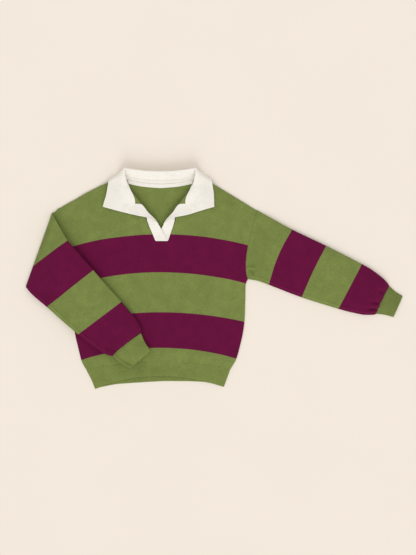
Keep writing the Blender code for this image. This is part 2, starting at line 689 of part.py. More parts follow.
def main():
    for existing in list(bpy.data.objects):
        bpy.data.objects.remove(existing, do_unlink=True)
    front_knit = finish("front knit", (0.19, 0.22, 0.065), 0.9)
    back_knit = finish("back knit", (0.17, 0.20, 0.06), 0.9)
    sleeve_knit = finish("sleeve knit", (0.13, 0.01, 0.05), 0.9)
    rib = finish("green rib", (0.18, 0.21, 0.06), 0.9)
    collar_knit = finish("collar knit", (0.88, 0.86, 0.80), 0.9)
    placket_knit = finish("placket knit", (0.86, 0.84, 0.78), 0.9)
    front_panel(front_knit)
    back_panel(back_knit)
    sleeves(sleeve_knit)
    cuffs(rib)
    hem_rib(rib)
    collar(collar_knit)
    placket_strip("placket_over", -1.0, STRIP_CLOTH + GAP, placket_knit)
    placket_strip("placket_under", 1.0, -(STRIP_CLOTH + GAP), placket_knit)
    neck_tape(collar_knit)
    stand_at_centre()


main()
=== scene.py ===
"""Looks of a knit polo shirt that lies flat with its front up, one sleeve spread out and one folded
over the front. Each sewn piece is laid from a flat grid, as its cloth was cut, in the place of its
CAD solid. Garment sizes are in millimetres: X across from the body's centre line, Y up from the
front hem, Z above the floor."""

import math

import bpy
import numpy as np
from numpy.linalg import norm
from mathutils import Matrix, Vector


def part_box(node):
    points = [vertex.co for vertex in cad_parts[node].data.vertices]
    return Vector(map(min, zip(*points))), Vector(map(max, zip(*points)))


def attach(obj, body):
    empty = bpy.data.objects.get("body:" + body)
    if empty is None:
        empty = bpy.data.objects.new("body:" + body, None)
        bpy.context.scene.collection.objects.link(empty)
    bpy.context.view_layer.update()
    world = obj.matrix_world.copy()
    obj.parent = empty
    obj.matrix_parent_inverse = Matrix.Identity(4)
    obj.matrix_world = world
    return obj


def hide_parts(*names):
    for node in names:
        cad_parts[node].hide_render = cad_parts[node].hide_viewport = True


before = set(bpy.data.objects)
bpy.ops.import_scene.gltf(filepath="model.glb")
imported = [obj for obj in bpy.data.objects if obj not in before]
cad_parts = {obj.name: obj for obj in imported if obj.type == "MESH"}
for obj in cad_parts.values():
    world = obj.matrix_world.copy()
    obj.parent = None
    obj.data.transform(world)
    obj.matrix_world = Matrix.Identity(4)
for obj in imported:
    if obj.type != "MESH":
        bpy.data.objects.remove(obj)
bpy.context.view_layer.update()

MM = 0.001

# Cloth thickness. The collar's is that of its beaded edge.
CLOTH = 1.8
COLLAR_CLOTH = 2.9
STRIP_CLOTH = 1.4
TAPE_CLOTH = 1
GAP = 0.3
LOW = CLOTH / 2
PLY = CLOTH + GAP
EDGE_TURN = PLY / 2
# Rounding the cloth's edges draws them in a little, so edges are laid that much further out
EDGE_OUT = 1.4
# Two pieces meet at a seam with the second one's end inside the first
SEAM_LAP = 2
LAP_SQUEEZE = 0.35
LAP_OVER = 2.5
SEAM_CLOSE = 0.25
SEAM_STEPS = (0, 1.2, 2.4, 3.6, 5)

# How far the upper layer stands off the lower one
BODY_LOFT = 3
SIDE_SINK_SHARE = 0.28
SHOULDER_SINK = 60
RIB_SINK = 24
RIB_LOFT_SHARE = 0.4
HEM_PUFF = 1.6
HEM_PUFF_ABOVE_RIB = 30
HEM_PUFF_SPREAD = 20
SLEEVE_LOFT = 4
TUCKED_LOFT = 0.4
FOLD_LOFT = 2
LOWEST_GATHER = -0.2
CROWN_POWER = 4
SLEEVE_FULL = 4.2
SLEEVE_FULL_OVER = 38
CUFF_FULL = 4.4

# Body
RIB_SEAM_Y = 54.3
RIB_SEAM_DROP = 25.5
RIB_SEAM_HALF = 211.2
HEM_HALF = 192
FRONT_HEM_Y = 8.5
FRONT_HEM_DROP = 31
LEFT_HEM_DROP = 6
BACK_HEM = [
    # x, y
    (-192, -31),
    (-177, -25.7),
    (-153, -20.8),
    (-129, -16.4),
    (-81, -12.8),
    (-33, -9.9),
    (15, -7.4),
    (87, -7.7),
    (135, -9.8),
    (159, -14.9),
    (183, -22),
    (192, -25),
]
HEM_MOUTH = 3.6
HEM_MOUTH_OPENS = (0.3, 0.7)
HEM_SIDE_OVER = 40
HEM_CREASES_SHARE = 0.6
HEM_EVEN_FROM = 0.1
SHOULDER_TIP = (291.6, 504.5)
UNDERARM = (266.3, 299.5)
NECK_POINT = (112, 605)
BACK_NECK_Y = 578
ARMHOLE_BOW = -14
ARMHOLE_SKEW = 0.65
SKEW_FADES_OVER = 95
SIDE_SEAM = [
    # x, y
    (211.2, 28.8),
    (228.9, 58.8),
    (241.5, 103.8),
    (249.5, 140),
    (254.1, 180),
    (256, 240),
    (257.5, 285),
    UNDERARM,
]
SHOULDER = [
    # x, y
    SHOULDER_TIP,
    (206, 557),
    (160, 584),
    NECK_POINT,
]
BACK_NECK = [
    # x, y
    NECK_POINT,
    (98, 590.5),
    (52, 582),
    (0, BACK_NECK_Y),
]
FRONT_NECK = [
    # x, y
    NECK_POINT,
    (99, 584),
    (92, 569),
    (53, 520),
    (46.5, 502),
    (44.6, 485),
    (43.3, 473.5),
    (34, 448.8),
    (19.8, 412.1),
]
LEAN = [
    # y, shift in x
    (412, 7),
    (450, 5.7),
    (480, 4.6),
    (520, 3),
]
LEAN_GROWS = (330, 80)
LEAN_FADES = (115, 60)
COLLAR_POINT_LEAN = -5
COLLAR_POINT_X = 75
COLLAR_POINT_Y = 510
COLLAR_POINT_OVER = (60, 50)
NECK_RISE = 2.7
NECK_RISE_Y = (488, 72)
NECK_RISE_HALF = 152
NECK_RISE_SIDE = 38
NECK_LIFT = 10
NECK_LIFT_OVER = 44
NECK_LIFT_Y = (428, 55)

# The hand that laid the shirt left its -X shoulder a little higher and its -X side a little wider
HIGH_SHOULDER = 9
HIGH_SHOULDER_X = (130, 110)
HIGH_SHOULDER_Y = (420, 130)
TIP_OUT = 7
TIP_X = (240, 45)
TIP_Y = (455, 45)
WIDE_SIDE = 3.2
WIDE_SIDE_Y = (150, 110)
WIDE_SEAM = 4.2
WIDE_SEAM_AT = (32, 28)
WIDE_FADES_Y = (-30, 60)

# Collar, half of it from the back's centre to the front end
COLLAR = [
    # seam x, y, z, roll centre x, y, z, roll radius, outward deg, turn from, turn to, outer x, y, z
    (0, 579.5, 4.8, 0, 616.5, 14, 3.4, 90, 90, -90, 0, 561, 1),
    (50, 583.3, 4.8, 50, 619, 14, 3.4, 88, 90, -90, 55, 563, 1),
    (80, 588, 4.7, 84, 623.5, 14.5, 3.4, 80, 95, -85, 92, 570, 1),
    (93, 591.5, 3.8, 97, 626, 15.5, 3.4, 66, 105, -75, 120, 579, 1),
    (101, 597, 4.2, 104.5, 627, 16, 3.4, 48, 120, -60, 146, 600, 1),
    (108, 603.5, 5, 108, 622, 16.5, 3.4, 25, 140, -30, 153.5, 597, 5),
    (107, 600.5, 6, 107.5, 613, 15.5, 3.2, 5, 160, 20, 155, 587, 8),
    (100.8, 590, 7, 105.5, 599, 14, 3, -10, 175, 45, 157, 575, 8),
    (94.8, 579, 8, 101, 585, 12.5, 2.8, -20, 180, 60, 159.5, 560, 8),
    (88.3, 565.5, 9.5, 94, 568.5, 12, 2.6, -25, 180, 70, 162, 543, 8),
    (80.5, 548.5, 10, 82.5, 549, 11.5, 2.2, -25, 175, 80, 164.5, 529, 8),
    (75, 534, 10, 78, 534, 11, 1.8, -15, 165, 85, 165.5, 522, 8),
    (76, 524, 10, 79, 523.7, 11, 1.6, -5, 140, 90, 166, 518, 8),
    (88, 518.5, 10, 91, 518, 11, 1.4, 0, 110, 90, 166.3, 516, 8),
    (92.6, 494, 10, 95.6, 494.5, 11, 1.4, 15, 110, 90, 166.6, 514.5, 8),
]
COLLAR_RAISE = 9
COLLAR_RAISE_FADES = (6, 5)
LEAF_LIES_FROM = 0.5
LEAF_CLEAR = 0.8
LEAF_SPRING = 6.5
LEAF_STARTS_AT = 0.9
STAND_CURVE = 4.5
STAND_ENDS_AT = 0.93
LEAF_ON_FRONT = (5.2, 0.8)
COLLAR_ON_FRONT = (8, 0.7)
COLLAR_EDGE_STEPS = (0, 0.9, 1.9, 3, 4.4)
COLLAR_THIN_SHARE = 0.52
COLLAR_BEAD = (1.8, 1.6)
# Seam where the stand is joined to the back, seen inside the neck
NECK_SEAM_RIDGE = 1.5
NECK_SEAM_AT = (11, 4.2)
NECK_SEAM_GROOVE = 0.7
NECK_GROOVE_AT = (5, 1.8)
NECK_SEAM_ENDS = (3.4, 1.4)

# Placket strips, half-plan mirrored for the other one
STRIP = [
    # seam x, y, crease x, y, free edge x, y, base above the front panel's level
    (18.8, 412.5, -18.2, 412.5, -18.2, 412.5, 0),
    (33, 448.8, 0, 448.8, 0, 448.8, 0),
    (36, 456.5, 6.5, 460.5, 6.5, 460.5, 0),
    (38.5, 464.5, 13, 472.5, 16.5, 468.8, 0.2),
    (41.5, 474, 24.5, 484.8, 31, 478.4, 0.4),
    (43, 491.5, 37.5, 498.3, 49.5, 484, 0.8),
    (50.5, 506.5, 47, 511.8, 61, 486, 1.2),
    (58.5, 516, 56.5, 521.5, 71, 488.3, 1.1),
    (73.5, 517.5, 73.5, 523.6, 81.5, 490.8, 0.7),
    (82, 518, 81, 525.6, 88, 492.4, 0),
    (92, 515, 91, 524.6, 95, 493.9, -1.2),
]
STRIP_SPRING = 4.4
STRIP_TURN = 1.3
STRIP_EDGE_CLOTH = 2.3
STRIP_BEAD = (1.6, 1.4)
STRIP_TURNED_FROM = 7
STRIP_LEVEL_FROM_Y = 490
OPENING_FOOT_Y = 449

# Sleeves and cuffs. The rows from the third to the fifth lie on the sleeve's stripe lines.
ARMHOLE_END = (SHOULDER_TIP[0], SHOULDER_TIP[1], UNDERARM[0], UNDERARM[1], ARMHOLE_BOW, 0)
SPREAD_SLEEVE = [
    # top edge x, y, underarm edge x, y, bow, loft
    ARMHOLE_END,
    (342, 476, 296, 294.5, -11, 2.6),
    (397.2, 445.8, 328.2, 282.8, -8, SLEEVE_LOFT),
    (498.9, 397.2, 426.6, 245.2, -3, SLEEVE_LOFT),
    (605.7, 342.6, 536.4, 210.9, 0, 5),
    (640, 322.4, 577, 200, 2, 8),
    (668, 300.6, 619.6, 192.4, 3, 11),
    (682.6, 286, 641.6, 192.8, 0, 10.5),
    (688.4, 277.6, 650.2, 195.6, -2, 6),
]
SPREAD_STRIPE_ROWS = (2, 3, 4)
SPREAD_CUFF = [
    # top edge x, y, underarm edge x, y, bow, loft
    (688.8, 276.9, 650.8, 195.8, -2, 3.4),
    (707, 260, 677, 192.6, 0, 3.4),
    (729, 246.6, 702, 185.8, 0, 2.6),
]
FOLLOWS_BODY_OVER = 100
# The folded sleeve as it would lie before the fold, on the other side of the body
FOLDED_SLEEVE = [
    # top edge x, y, underarm edge x, y, bow, loft
    (411.6, 461, 431, 271.4, 0, 3),
    (468, 451.5, 459, 270.6, 0, SLEEVE_LOFT),
    (525.9, 441.6, 492, 270.3, 0, SLEEVE_LOFT),
    (588, 431.5, 548.7, 267.7, 0, SLEEVE_LOFT),
    (650.5, 421.4, 613.2, 266.9, 0, 4.5),
    (690, 413.8, 664.9, 268, 0, 5.5),
    (723.9, 406.4, 706.6, 272.2, 2, 7),
    (746, 396, 727, 279, 0, 7.5),
    (755, 386.2, 733.5, 284.2, -3, 4.6),
]
# Its courses of knitting that are known: the armhole, three stripe lines and the cuff's seam
FOLDED_COURSES = [
    # top x, y, underarm x, y
    (SHOULDER_TIP[0], SHOULDER_TIP[1], UNDERARM[0], UNDERARM[1]),
    (411.6, 461, 361, 276),
    (525.9, 441.6, 488.2, 272.5),
    (650.5, 421.4, 613.2, 268.9),
    (755, 386.2, 733.5, 284.2),
]
FOLDED_CUFF = [
    # top edge x, y, underarm edge x, y, bow, loft
    (755.7, 385.4, 734.2, 284.6, -3, 3),
    (781.4, 372.2, 762, 282.5, 0, 3.2),
    (810.2, 364.4, 797.6, 289.8, 0, 2.4),
]
FOLD_TOP = (322.5, 494.7)
FOLD_FOOT = (400.5, 276)
TOP_EDGE_SLOPE = -0.36
UNDERARM_EDGE_SLOPE = -0.15
FOLD_ROWS = (-0.8, 0, 0.17, 0.33, 0.5, 0.67, 0.83, 1, 1.4, 3.5)
TUCK_SINK = 40
TUCKED_SEAM_SINK = 10
TUCKED_SEAM_OVER = 12
SETTLES_OVER = 12
BULGE_RISES = (20, 45)
BODY_EDGE_REACH, BODY_EDGE_OVER = 6, 24
SAG_FROM_EDGE, SAG_BELOW_FOOT, SAG_OVER = 2, 10, 34
CLEAR = 0.8
SLEEVE_CLEAR = 3
STAND_OFF = 9
STAND_OFF_ACROSS = (0.25, 0.6)
STAND_OFF_RISES_OVER = 12
STAND_OFF_FADES = (45, 330)
UNDERARM_OFF = 6.5
UNDERARM_OFF_SHARE = 0.24
CUFF_MOUTH_OFF = 4

# The seam along each sleeve's underarm edge, and the one along the body's sides
UNDERARM_SEAM_STEPS = (0, 1.1, 2.2, 3.2, 4.2, 5.2, 6.4, 7.8)
UNDERARM_STRIP = 2.4
UNDERARM_STRIP_OVER = 4.6
UNDERARM_STRIP_FILL = 0.3
UNDERARM_RIDGE = 2.3
UNDERARM_RIDGE_PAST = 0.4
SIDE_SEAM_AT = 2.2
SIDE_SEAM_SHARE = 0.6
SIDE_SEAM_ENDS_BELOW = 12
SIDE_SEAM_ENDS_OVER = 10
FLAT_SIDE_SHARE = 0.12
ARMHOLE_SEAM_AT = 0.6
ARMHOLE_SEAM_SHARE = 0.55
ARMHOLE_SEAM_RISES = 4
SEAM_GROOVE = 1.7
SEAM_GROOVE_WIDTH = 1.15
SEAM_RIDGE = 0.7
SEAM_RIDGE_WIDTH = 1.2
SEAM_RIDGE_BESIDE = 2.5

TAPE_SHARE = 0.985
TAPE_SECTION = [
    # from the seam, above the back panel
    (-7, 0),
    (-4, 0.35),
    (-1, 0.6),
    (2, 0.9),
    (4.5, 1.3),
]

# Block stripes of the body, by the height of each line at the centre and its drop at the sides
BODY_COURSES = [
    # y, drop
    (54.3, 25.5),
    (92.4, 33.6),
    (198.9, 28.5),
    (319.2, 34),
    (431.8, 32.7),
    (520, 30),
    (605, 20),
]
BODY_STRIPE_LINES = (92.9, 199.4, 319, 432.8)
MIDDLE_DROP = 30
LEFT_DROP = 5

# Slow swells of a shirt smoothed out by hand
SWELL_RAISE = 0.4
SEAM_HOLDS_OVER = 12
SLEEVE_SWELL_SHARE = 0.8
# Hollows are shallower where the sleeve lies flatter than this
HELD_BELOW = 1.5
HELD_LEAST = 0.25
SWELLS = [
    # length, direction deg, height, phase
    (171, 22, 0.24, 0.4),
    (118, 104, 0.20, 2.1),
    (83, 63, 0.13, 4.4),
    (57, 148, 0.09, 1.3),
    (37, 12, 0.05, 5.2),
]
# Soft creases and small puckers, each along a line, as deep as a hand would feel
FRONT_CREASES = [
    # from x, y, to x, y, width, depth
    (-159, 40, -164, 72, 6.5, 2.2),
    (-104, 50, -100, 78, 8, 1.1),
    (-52, 54, -58, 82, 6, 2.3),
    (-3, 58, 2, 80, 6, 2.5),
    (38, 55, 43, 98, 8, 0.9),
    (76, 52, 74, 76, 5, 1.1),
    (114, 48, 120, 74, 6.5, 2.4),
    (148, 42, 143, 66, 5, 1.2),
    (179, 36, 187, 60, 5.5, 2.2),
    (247, 306, 205, 333, 9, 1.3),
    (249, 322, 219, 364, 8, 0.9),
    (252, 296, 222, 292, 6, 0.9),
    (-247, 306, -212, 336, 9, 1.3),
    (150, 520, 232, 470, 17, 0.5),
    (-196, 515, -246, 462, 16, 0.45),
    (-120, 250, 96, 236, 26, 0.35),
    (-20, 372, 168, 352, 22, 0.3),
    (60, 140, 212, 166, 20, 0.3),
]
BACK_CREASES = [
    # from x, y, to x, y, width, depth
    (-170, 36, -164, 70, 6, -0.5),
    (-70, 52, -74, 84, 7, -0.5),
    (24, 55, 20, 80, 6, -0.55),
    (118, 48, 124, 76, 6, -0.5),
    (240, 312, 190, 350, 12, -0.45),
    (-240, 312, -196, 352, 12, -0.45),
    (-150, 430, 140, 446, 24, -0.4),
    (-60, 200, 150, 184, 26, -0.35),
]
SPREAD_CREASES = [
    # A negative depth stands up, where the cloth puckers in the armpit
    # from x, y, to x, y, width, depth
    (262.5, 331, 272, 333.5, 3.6, -8),
    (272, 333.5, 285.5, 331.5, 3.6, -8),
    (285.5, 331.5, 291.5, 312, 3.8, -7.5),
    (268, 323, 279, 306, 3.6, -8),
    (276, 303, 304, 316, 5, 1),
    (296, 470, 352, 438, 12, 0.9),
    (352, 330, 408, 392, 15, 0.8),
    (470, 280, 560, 330, 18, 0.9),
    (590, 300, 560, 240, 14, 1),
]
FOLDED_CREASES = [
    # on the flat sleeve: from x, y, to x, y, width, depth
    (440, 300, 520, 330, 16, 1.1),
    (470, 420, 560, 405, 15, 1),
    (600, 300, 668, 318, 15, 1.1),
    (610, 395, 680, 372, 14, 1),
    (330, 450, 372, 330, 13, 0.6),
]
CREASE_ENDS = 0.22
CREASE_BANK = 0.4
CREASE_BANK_WIDTH = 2.2

# Gathers where the full sleeve is eased into its cuff
GATHER_FULL_SHARE = 0.3
SPREAD_GATHERS = [
    # share from the underarm edge, width in shares, length, depth
    (0.07, 0.026, 22, 2),
    (0.17, 0.040, 52, 8.5),
    (0.26, 0.026, 20, 2.6),
    (0.35, 0.042, 46, 8.5),
    (0.45, 0.026, 17, 2),
    (0.56, 0.028, 24, 3),
    (0.68, 0.042, 36, 8),
    (0.79, 0.028, 18, 2.4),
    (0.88, 0.032, 24, 2.6),
]
FOLDED_GATHERS = [
    # share from the underarm edge, width in shares, length, depth
    (0.08, 0.028, 28, 3.6),
    (0.17, 0.028, 38, 5),
    (0.27, 0.028, 32, 4.4),
    (0.34, 0.028, 20, 1.6),
    (0.47, 0.032, 16, 1.2),
    (0.60, 0.032, 19, 1.4),
    (0.73, 0.030, 16, 1.2),
    (0.87, 0.032, 21, 1.6),
]

# Grid rows and columns
SHOULDER_COLUMNS = 24
BACK_NECK_COLUMNS = 20
FRONT_NECK_COLUMNS = 36
FOOT_COLUMNS = 5
SHOULDER_REACH = 0.36
FOOT_REACH = 0.06
SIDE_ROWS = 36
ARMHOLE_ROWS = 34
SEEN_COLUMNS = 54
UNSEEN_COLUMNS = 16
EDGE_POINTS = 4
SPREAD_RINGS = 72
ARMPIT_STEPS = (0, 1.2, 2.4, 3.6, 5, 7, 9.5, 12, 14.5, 17, 19.5, 22)
GATHER_STEPS = (0, 1.8, 3.6, 5.6, 7.8, 10.2, 12.8, 15.6, 18.6, 21.8, 25.2, 29)
FOLDED_RINGS = 56
TUCKED_RINGS = 8
FOLD_RINGS = 24
CUFF_RINGS = 13
HEM_COLUMNS = 84
HEM_RINGS = 13
COLLAR_STATIONS = 150
STAND_POINTS = 13
ROLL_POINTS = 9
LEAF_POINTS = 13
STRIP_STATIONS = 64
STRIP_POINTS = 7
TAPE_STATIONS = 40
CURVE_SAMPLES = 900
MARK_SAMPLES = 400
NECK_SAMPLES = 200
SIDE_SAMPLES = 120

front_low, front_high = (np.array(corner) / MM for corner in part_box("front"))
CENTRE_LINE_X = (front_low[0] + front_high[0]) / 2
HEM_Y = front_high[1] - NECK_POINT[1]


def smooth(t):
    """Eases from 0 to 1 as t goes from 0 to 1."""
    t = np.clip(t, 0, 1)
    return t * t * (3 - 2 * t)


def rises(value, ramp):
    """Eases from 0 to 1, from the ramp's start and over its length."""
    start, over = ramp
    return smooth((value - start) / over)


def fades(value, ramp):
    return 1 - rises(value, ramp)


def through(rows, at):
    """A smooth curve through a table's rows, read at row numbers that may lie between rows."""
    rows = np.asarray(rows, float)
    at = np.asarray(at, float)
    slope = np.gradient(rows, axis=0)
    step = np.diff(rows, axis=0)
    slope[1:-1] = np.where(step[:-1] * step[1:] <= 0, 0, slope[1:-1])
    first = np.clip(np.floor(at).astype(int), 0, len(rows) - 2)
    t = (at - first)[:, None]
    a, b = rows[first], rows[first + 1]
    return (
        a * (1 + 2 * t) * (1 - t) ** 2
        + b * t * t * (3 - 2 * t)
        + slope[first] * t * (1 - t) ** 2
        - slope[first + 1] * t * t * (1 - t)
    )


def run_lengths(points):
    """Length along a line of points, up to each of them."""
    return np.concatenate([[0], np.cumsum(norm(np.diff(points, axis=0), axis=1))])


def along(rows, count, columns=2, near_start=(0,), near_end=(0,)):
    """count row numbers, evenly spaced by the length of the table's first columns. The steps near
    the start and the end come closer together."""
    fine = np.linspace(0, len(rows) - 1, CURVE_SAMPLES)
    length = run_lengths(through(np.asarray(rows, float)[:, :columns], fine))
    even = np.linspace(near_start[-1], length[-1] - near_end[-1], count)
    wanted = np.concatenate([near_start[:-1], even, length[-1] - np.array(near_end[::-1][1:])])
    return np.interp(wanted, length, fine)


def evenly(rows, count, near_start=(0,)):
    return through(rows, along(rows, count, near_start=near_start))


def ridge(distance, at, width):
    return np.exp(-(((distance - at) / width) ** 2))


def sewn_seam(distance, at):
    """A linked seam: a groove where the stitches pull the cloth down, and a low ridge beside it."""
    groove = SEAM_GROOVE * ridge(distance, at, SEAM_GROOVE_WIDTH)
    return SEAM_RIDGE * ridge(distance, at + SEAM_RIDGE_BESIDE, SEAM_RIDGE_WIDTH) - groove


def armhole(count):
    t = np.linspace(0, 1, count)[:, None]
    low, high = np.array(UNDERARM), np.array(SHOULDER_TIP)
    across = (high - low) / norm(high - low)
    outward = np.array([across[1], -across[0]])
    return low + (high - low) * t + outward * (ARMHOLE_BOW * np.sin(math.pi * t**ARMHOLE_SKEW))


SHOULDER_LINE = evenly(SHOULDER, NECK_SAMPLES)[::-1]
BODY_EDGE = np.vstack([evenly(SIDE_SEAM, SIDE_SAMPLES), armhole(SIDE_SAMPLES)])
FRONT_NECK_EDGE = evenly(FRONT_NECK, NECK_SAMPLES)[::-1]


def half_width(y):
    return np.interp(y, np.maximum.accumulate(BODY_EDGE[:, 1]), BODY_EDGE[:, 0])


def shoulder_height(x):
    return np.interp(np.abs(x), SHOULDER_LINE[:, 0], SHOULDER_LINE[:, 1])


def neck_rise(x, y):
    up = rises(y, NECK_RISE_Y)
    side = 1 - smooth((np.abs(x) - NECK_RISE_HALF) / NECK_RISE_SIDE)
    return NECK_RISE * up * side


def body_loft(x, y):
    inside = smooth((1 - np.abs(x) / half_width(y)) / SIDE_SINK_SHARE)
    under_shoulder = smooth((shoulder_height(x) - y) / SHOULDER_SINK)
    above_rib = y + RIB_SEAM_DROP * (x / RIB_SEAM_HALF) ** 2 - RIB_SEAM_Y
    puff = HEM_PUFF * ridge(above_rib, HEM_PUFF_ABOVE_RIB, HEM_PUFF_SPREAD)
    held = RIB_LOFT_SHARE + (1 - RIB_LOFT_SHARE) * smooth(above_rib / RIB_SINK)
    return (BODY_LOFT + puff) * held * inside * under_shoulder


def back_height(x, y):
    return LOW + neck_rise(x, y)


def neck_lift(x, y):
    """The front's neck edge stands off the back."""
    inside = np.interp(y, FRONT_NECK_EDGE[:, 1], FRONT_NECK_EDGE[:, 0])
    near = 1 - smooth((np.abs(x - lean_at(y)) - inside) / NECK_LIFT_OVER)
    under_shoulder = smooth((shoulder_height(x) - y) / NECK_RISE_SIDE)
    return NECK_LIFT * near * under_shoulder * rises(y, NECK_LIFT_Y)


def front_height(x, y):
    return back_height(x, y) + PLY + body_loft(x, y) + neck_lift(x, y)


def swell(x, y):
    height = np.zeros_like(x)
    for length, direction, rise, phase in SWELLS:
        way = math.radians(direction)
        height += rise * np.sin(2 * math.pi * (x * math.cos(way) + y * math.sin(way)) / length + phase)
    return height


def creased(table, x, y):
    """How far the table's creases sink the cloth at each point. Each fades out towards its ends and
    has a low bank beside it. A negative depth makes a soft ridge."""
    sunk = np.zeros_like(x)
    for from_x, from_y, to_x, to_y, width, depth in table:
        length = math.hypot(to_x - from_x, to_y - from_y)
        way = np.array([to_x - from_x, to_y - from_y]) / length
        on = ((x - from_x) * way[0] + (y - from_y) * way[1]) / length
        off = (x - from_x) * way[1] - (y - from_y) * way[0]
        starts = smooth((on + CREASE_ENDS) / (2 * CREASE_ENDS))
        ends = starts * smooth((1 + CREASE_ENDS - on) / (2 * CREASE_ENDS))
        bank = CREASE_BANK * ridge(off / width, 0, CREASE_BANK_WIDTH)
        sunk += depth * ends * (ridge(off, 0, width) - bank)
    return sunk


# Cloth as cut: a flat grid with its length across and along the knitting, laid into its shape

def deselect():
    bpy.ops.object.select_all(action="DESELECT")


def lay_cloth(name, grid, fabric, thickness, knit, ring=False, edge=None):
    """A piece of cloth from a flat grid. grid holds its points in garment millimetres and fabric
    its place on the cut cloth. A ring's two long edges are joined. edge holds shares of thickness."""
    if ring:
        turn = norm(grid[:, 0] - grid[:, -1], axis=-1)
        last = fabric[:, -1:] + np.stack([turn, np.zeros_like(turn)], axis=-1)[:, None]
        grid = np.concatenate([grid, grid[:, :1]], axis=1)
        fabric = np.concatenate([fabric, last], axis=1)
    rows, columns = grid.shape[:2]
    deselect()
    bpy.ops.mesh.primitive_grid_add(x_subdivisions=columns - 1, y_subdivisions=rows - 1, size=2)
    piece = bpy.context.object
    piece.name = name
    mesh = piece.data
    mesh.name = name
    flat = np.empty(len(mesh.vertices) * 3)
    mesh.vertices.foreach_get("co", flat)
    flat = flat.reshape(-1, 3)
    column = np.rint((flat[:, 0] + 1) / 2 * (columns - 1)).astype(int)
    row = np.rint((flat[:, 1] + 1) / 2 * (rows - 1)).astype(int)
    place = (grid[row, column] + [CENTRE_LINE_X, HEM_Y, 0]) * MM
    mesh.vertices.foreach_set("co", place.ravel())
    corner = np.empty(len(mesh.loops), int)
    mesh.loops.foreach_get("vertex_index", corner)
    mesh.uv_layers[0].name = "fabric"
    mesh.uv_layers[0].data.foreach_set("uv", (fabric[row, column] * MM)[corner].ravel())
    if edge is not None:
        group = piece.vertex_groups.new(name="edge")
        for number, weight in enumerate(edge[row, column]):
            group.add([number], float(weight), "REPLACE")
    mesh.update()
    if ring:
        bpy.ops.object.mode_set(mode="EDIT")
        bpy.ops.mesh.select_all(action="SELECT")
        bpy.ops.mesh.remove_doubles(threshold=1e-7)
        bpy.ops.object.mode_set(mode="OBJECT")
    wall = piece.modifiers.new("cloth", "SOLIDIFY")
    wall.thickness = thickness * MM
    wall.offset = 0
    if edge is not None:
        wall.vertex_group = "edge"
    bpy.ops.object.modifier_apply(modifier=wall.name)
    rounding = piece.modifiers.new("rounding", "SUBSURF")
    rounding.levels = 1
    rounding.render_levels = 1
    bpy.ops.object.modifier_apply(modifier=rounding.name)
    piece.data.shade_smooth()
    piece.data.materials.clear()
    piece.data.materials.append(knit)
    return piece


def cut_size(grid, ring=False, shaped=False):
    """The cut cloth's width, length and area in metres. A ring is measured all round, and a panel
    that is cut to shape between its outermost points."""
    if ring:
        grid = np.concatenate([grid, grid[:, :1]], axis=1)
    across = norm(np.diff(grid, axis=1), axis=-1)
    onward = norm(np.diff(grid, axis=0), axis=-1)
    a, b = grid[1:, 1:] - grid[:-1, :-1], grid[1:, :-1] - grid[:-1, 1:]
    area = norm(np.cross(a, b), axis=-1).sum() / 2
    width, length = across.sum(axis=1).max(), onward.sum(axis=0).max()
    if shaped:
        width, length = np.ptp(grid[..., 0]), np.ptp(grid[..., 1])
    area = min(area, width * length)
    return (width * MM, length * MM), area * MM * MM


def declare(piece, node, grid, ring=False, shaped=False):
    flat, area = cut_size(grid, ring, shaped)
    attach(piece, "root")
    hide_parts(node)


# Body

def coons(bottom, top, left, right):
    """Fills four edges with rows that pass smoothly from the bottom one to the top one."""
    rows, columns = len(left), len(bottom)
    u = np.linspace(0, 1, columns)[None, :, None]
    v = np.linspace(0, 1, rows)[:, None, None]
    across = (1 - u) * left[:, None] + u * right[:, None]
    upward = (1 - v) * bottom[None] + v * top[None]
    corners = (
        (1 - u) * (1 - v) * left[0]
        + u * (1 - v) * right[0]
        + (1 - u) * v * left[-1]
        + u * v * right[-1]
    )
    return across + upward - corners


def panel_plan(neck, neck_columns, foot_columns):
    """Plan of a body panel: columns run from the rib seam up to the shoulder and neck edge."""
    shoulder = evenly(SHOULDER, SHOULDER_COLUMNS + 1, near_start=SEAM_STEPS)
    neck_edge = evenly(neck, neck_columns + 1)
    half = np.vstack([shoulder, neck_edge[1:]])
    inner_reach = FOOT_REACH if foot_columns else 0
    seam_reach = 1 - np.array(SEAM_STEPS) / RIB_SEAM_HALF
    reach = np.linspace(seam_reach[-1], SHOULDER_REACH, SHOULDER_COLUMNS + 1)
    reach = np.concatenate([seam_reach[:-1], reach])
    reach = np.concatenate([reach, np.linspace(SHOULDER_REACH, inner_reach, neck_columns + 1)[1:]])
    middle = np.linspace(-1, 1, foot_columns + 1)[1:-1]
    foot = np.column_stack([middle * half[-1][0], np.full(len(middle), half[-1][1])])
    other_half = half[::-1] if foot_columns else half[::-1][1:]
    top = np.vstack([half * np.array([-1, 1]), foot, other_half])
    u = np.concatenate([-reach, middle * inner_reach, reach[::-1][-len(other_half) :]])
    side = evenly(SIDE_SEAM, SIDE_ROWS + 1)
    right = np.vstack([side, armhole(ARMHOLE_ROWS + 1)[1:]])
    right[-1] = half[0]
    left = right * np.array([-1, 1])
    bottom = np.stack([u * RIB_SEAM_HALF, RIB_SEAM_Y - RIB_SEAM_DROP * u * u], axis=1)
    left[0], right[0] = bottom[0], bottom[-1]
    return coons(bottom, top, left, right)


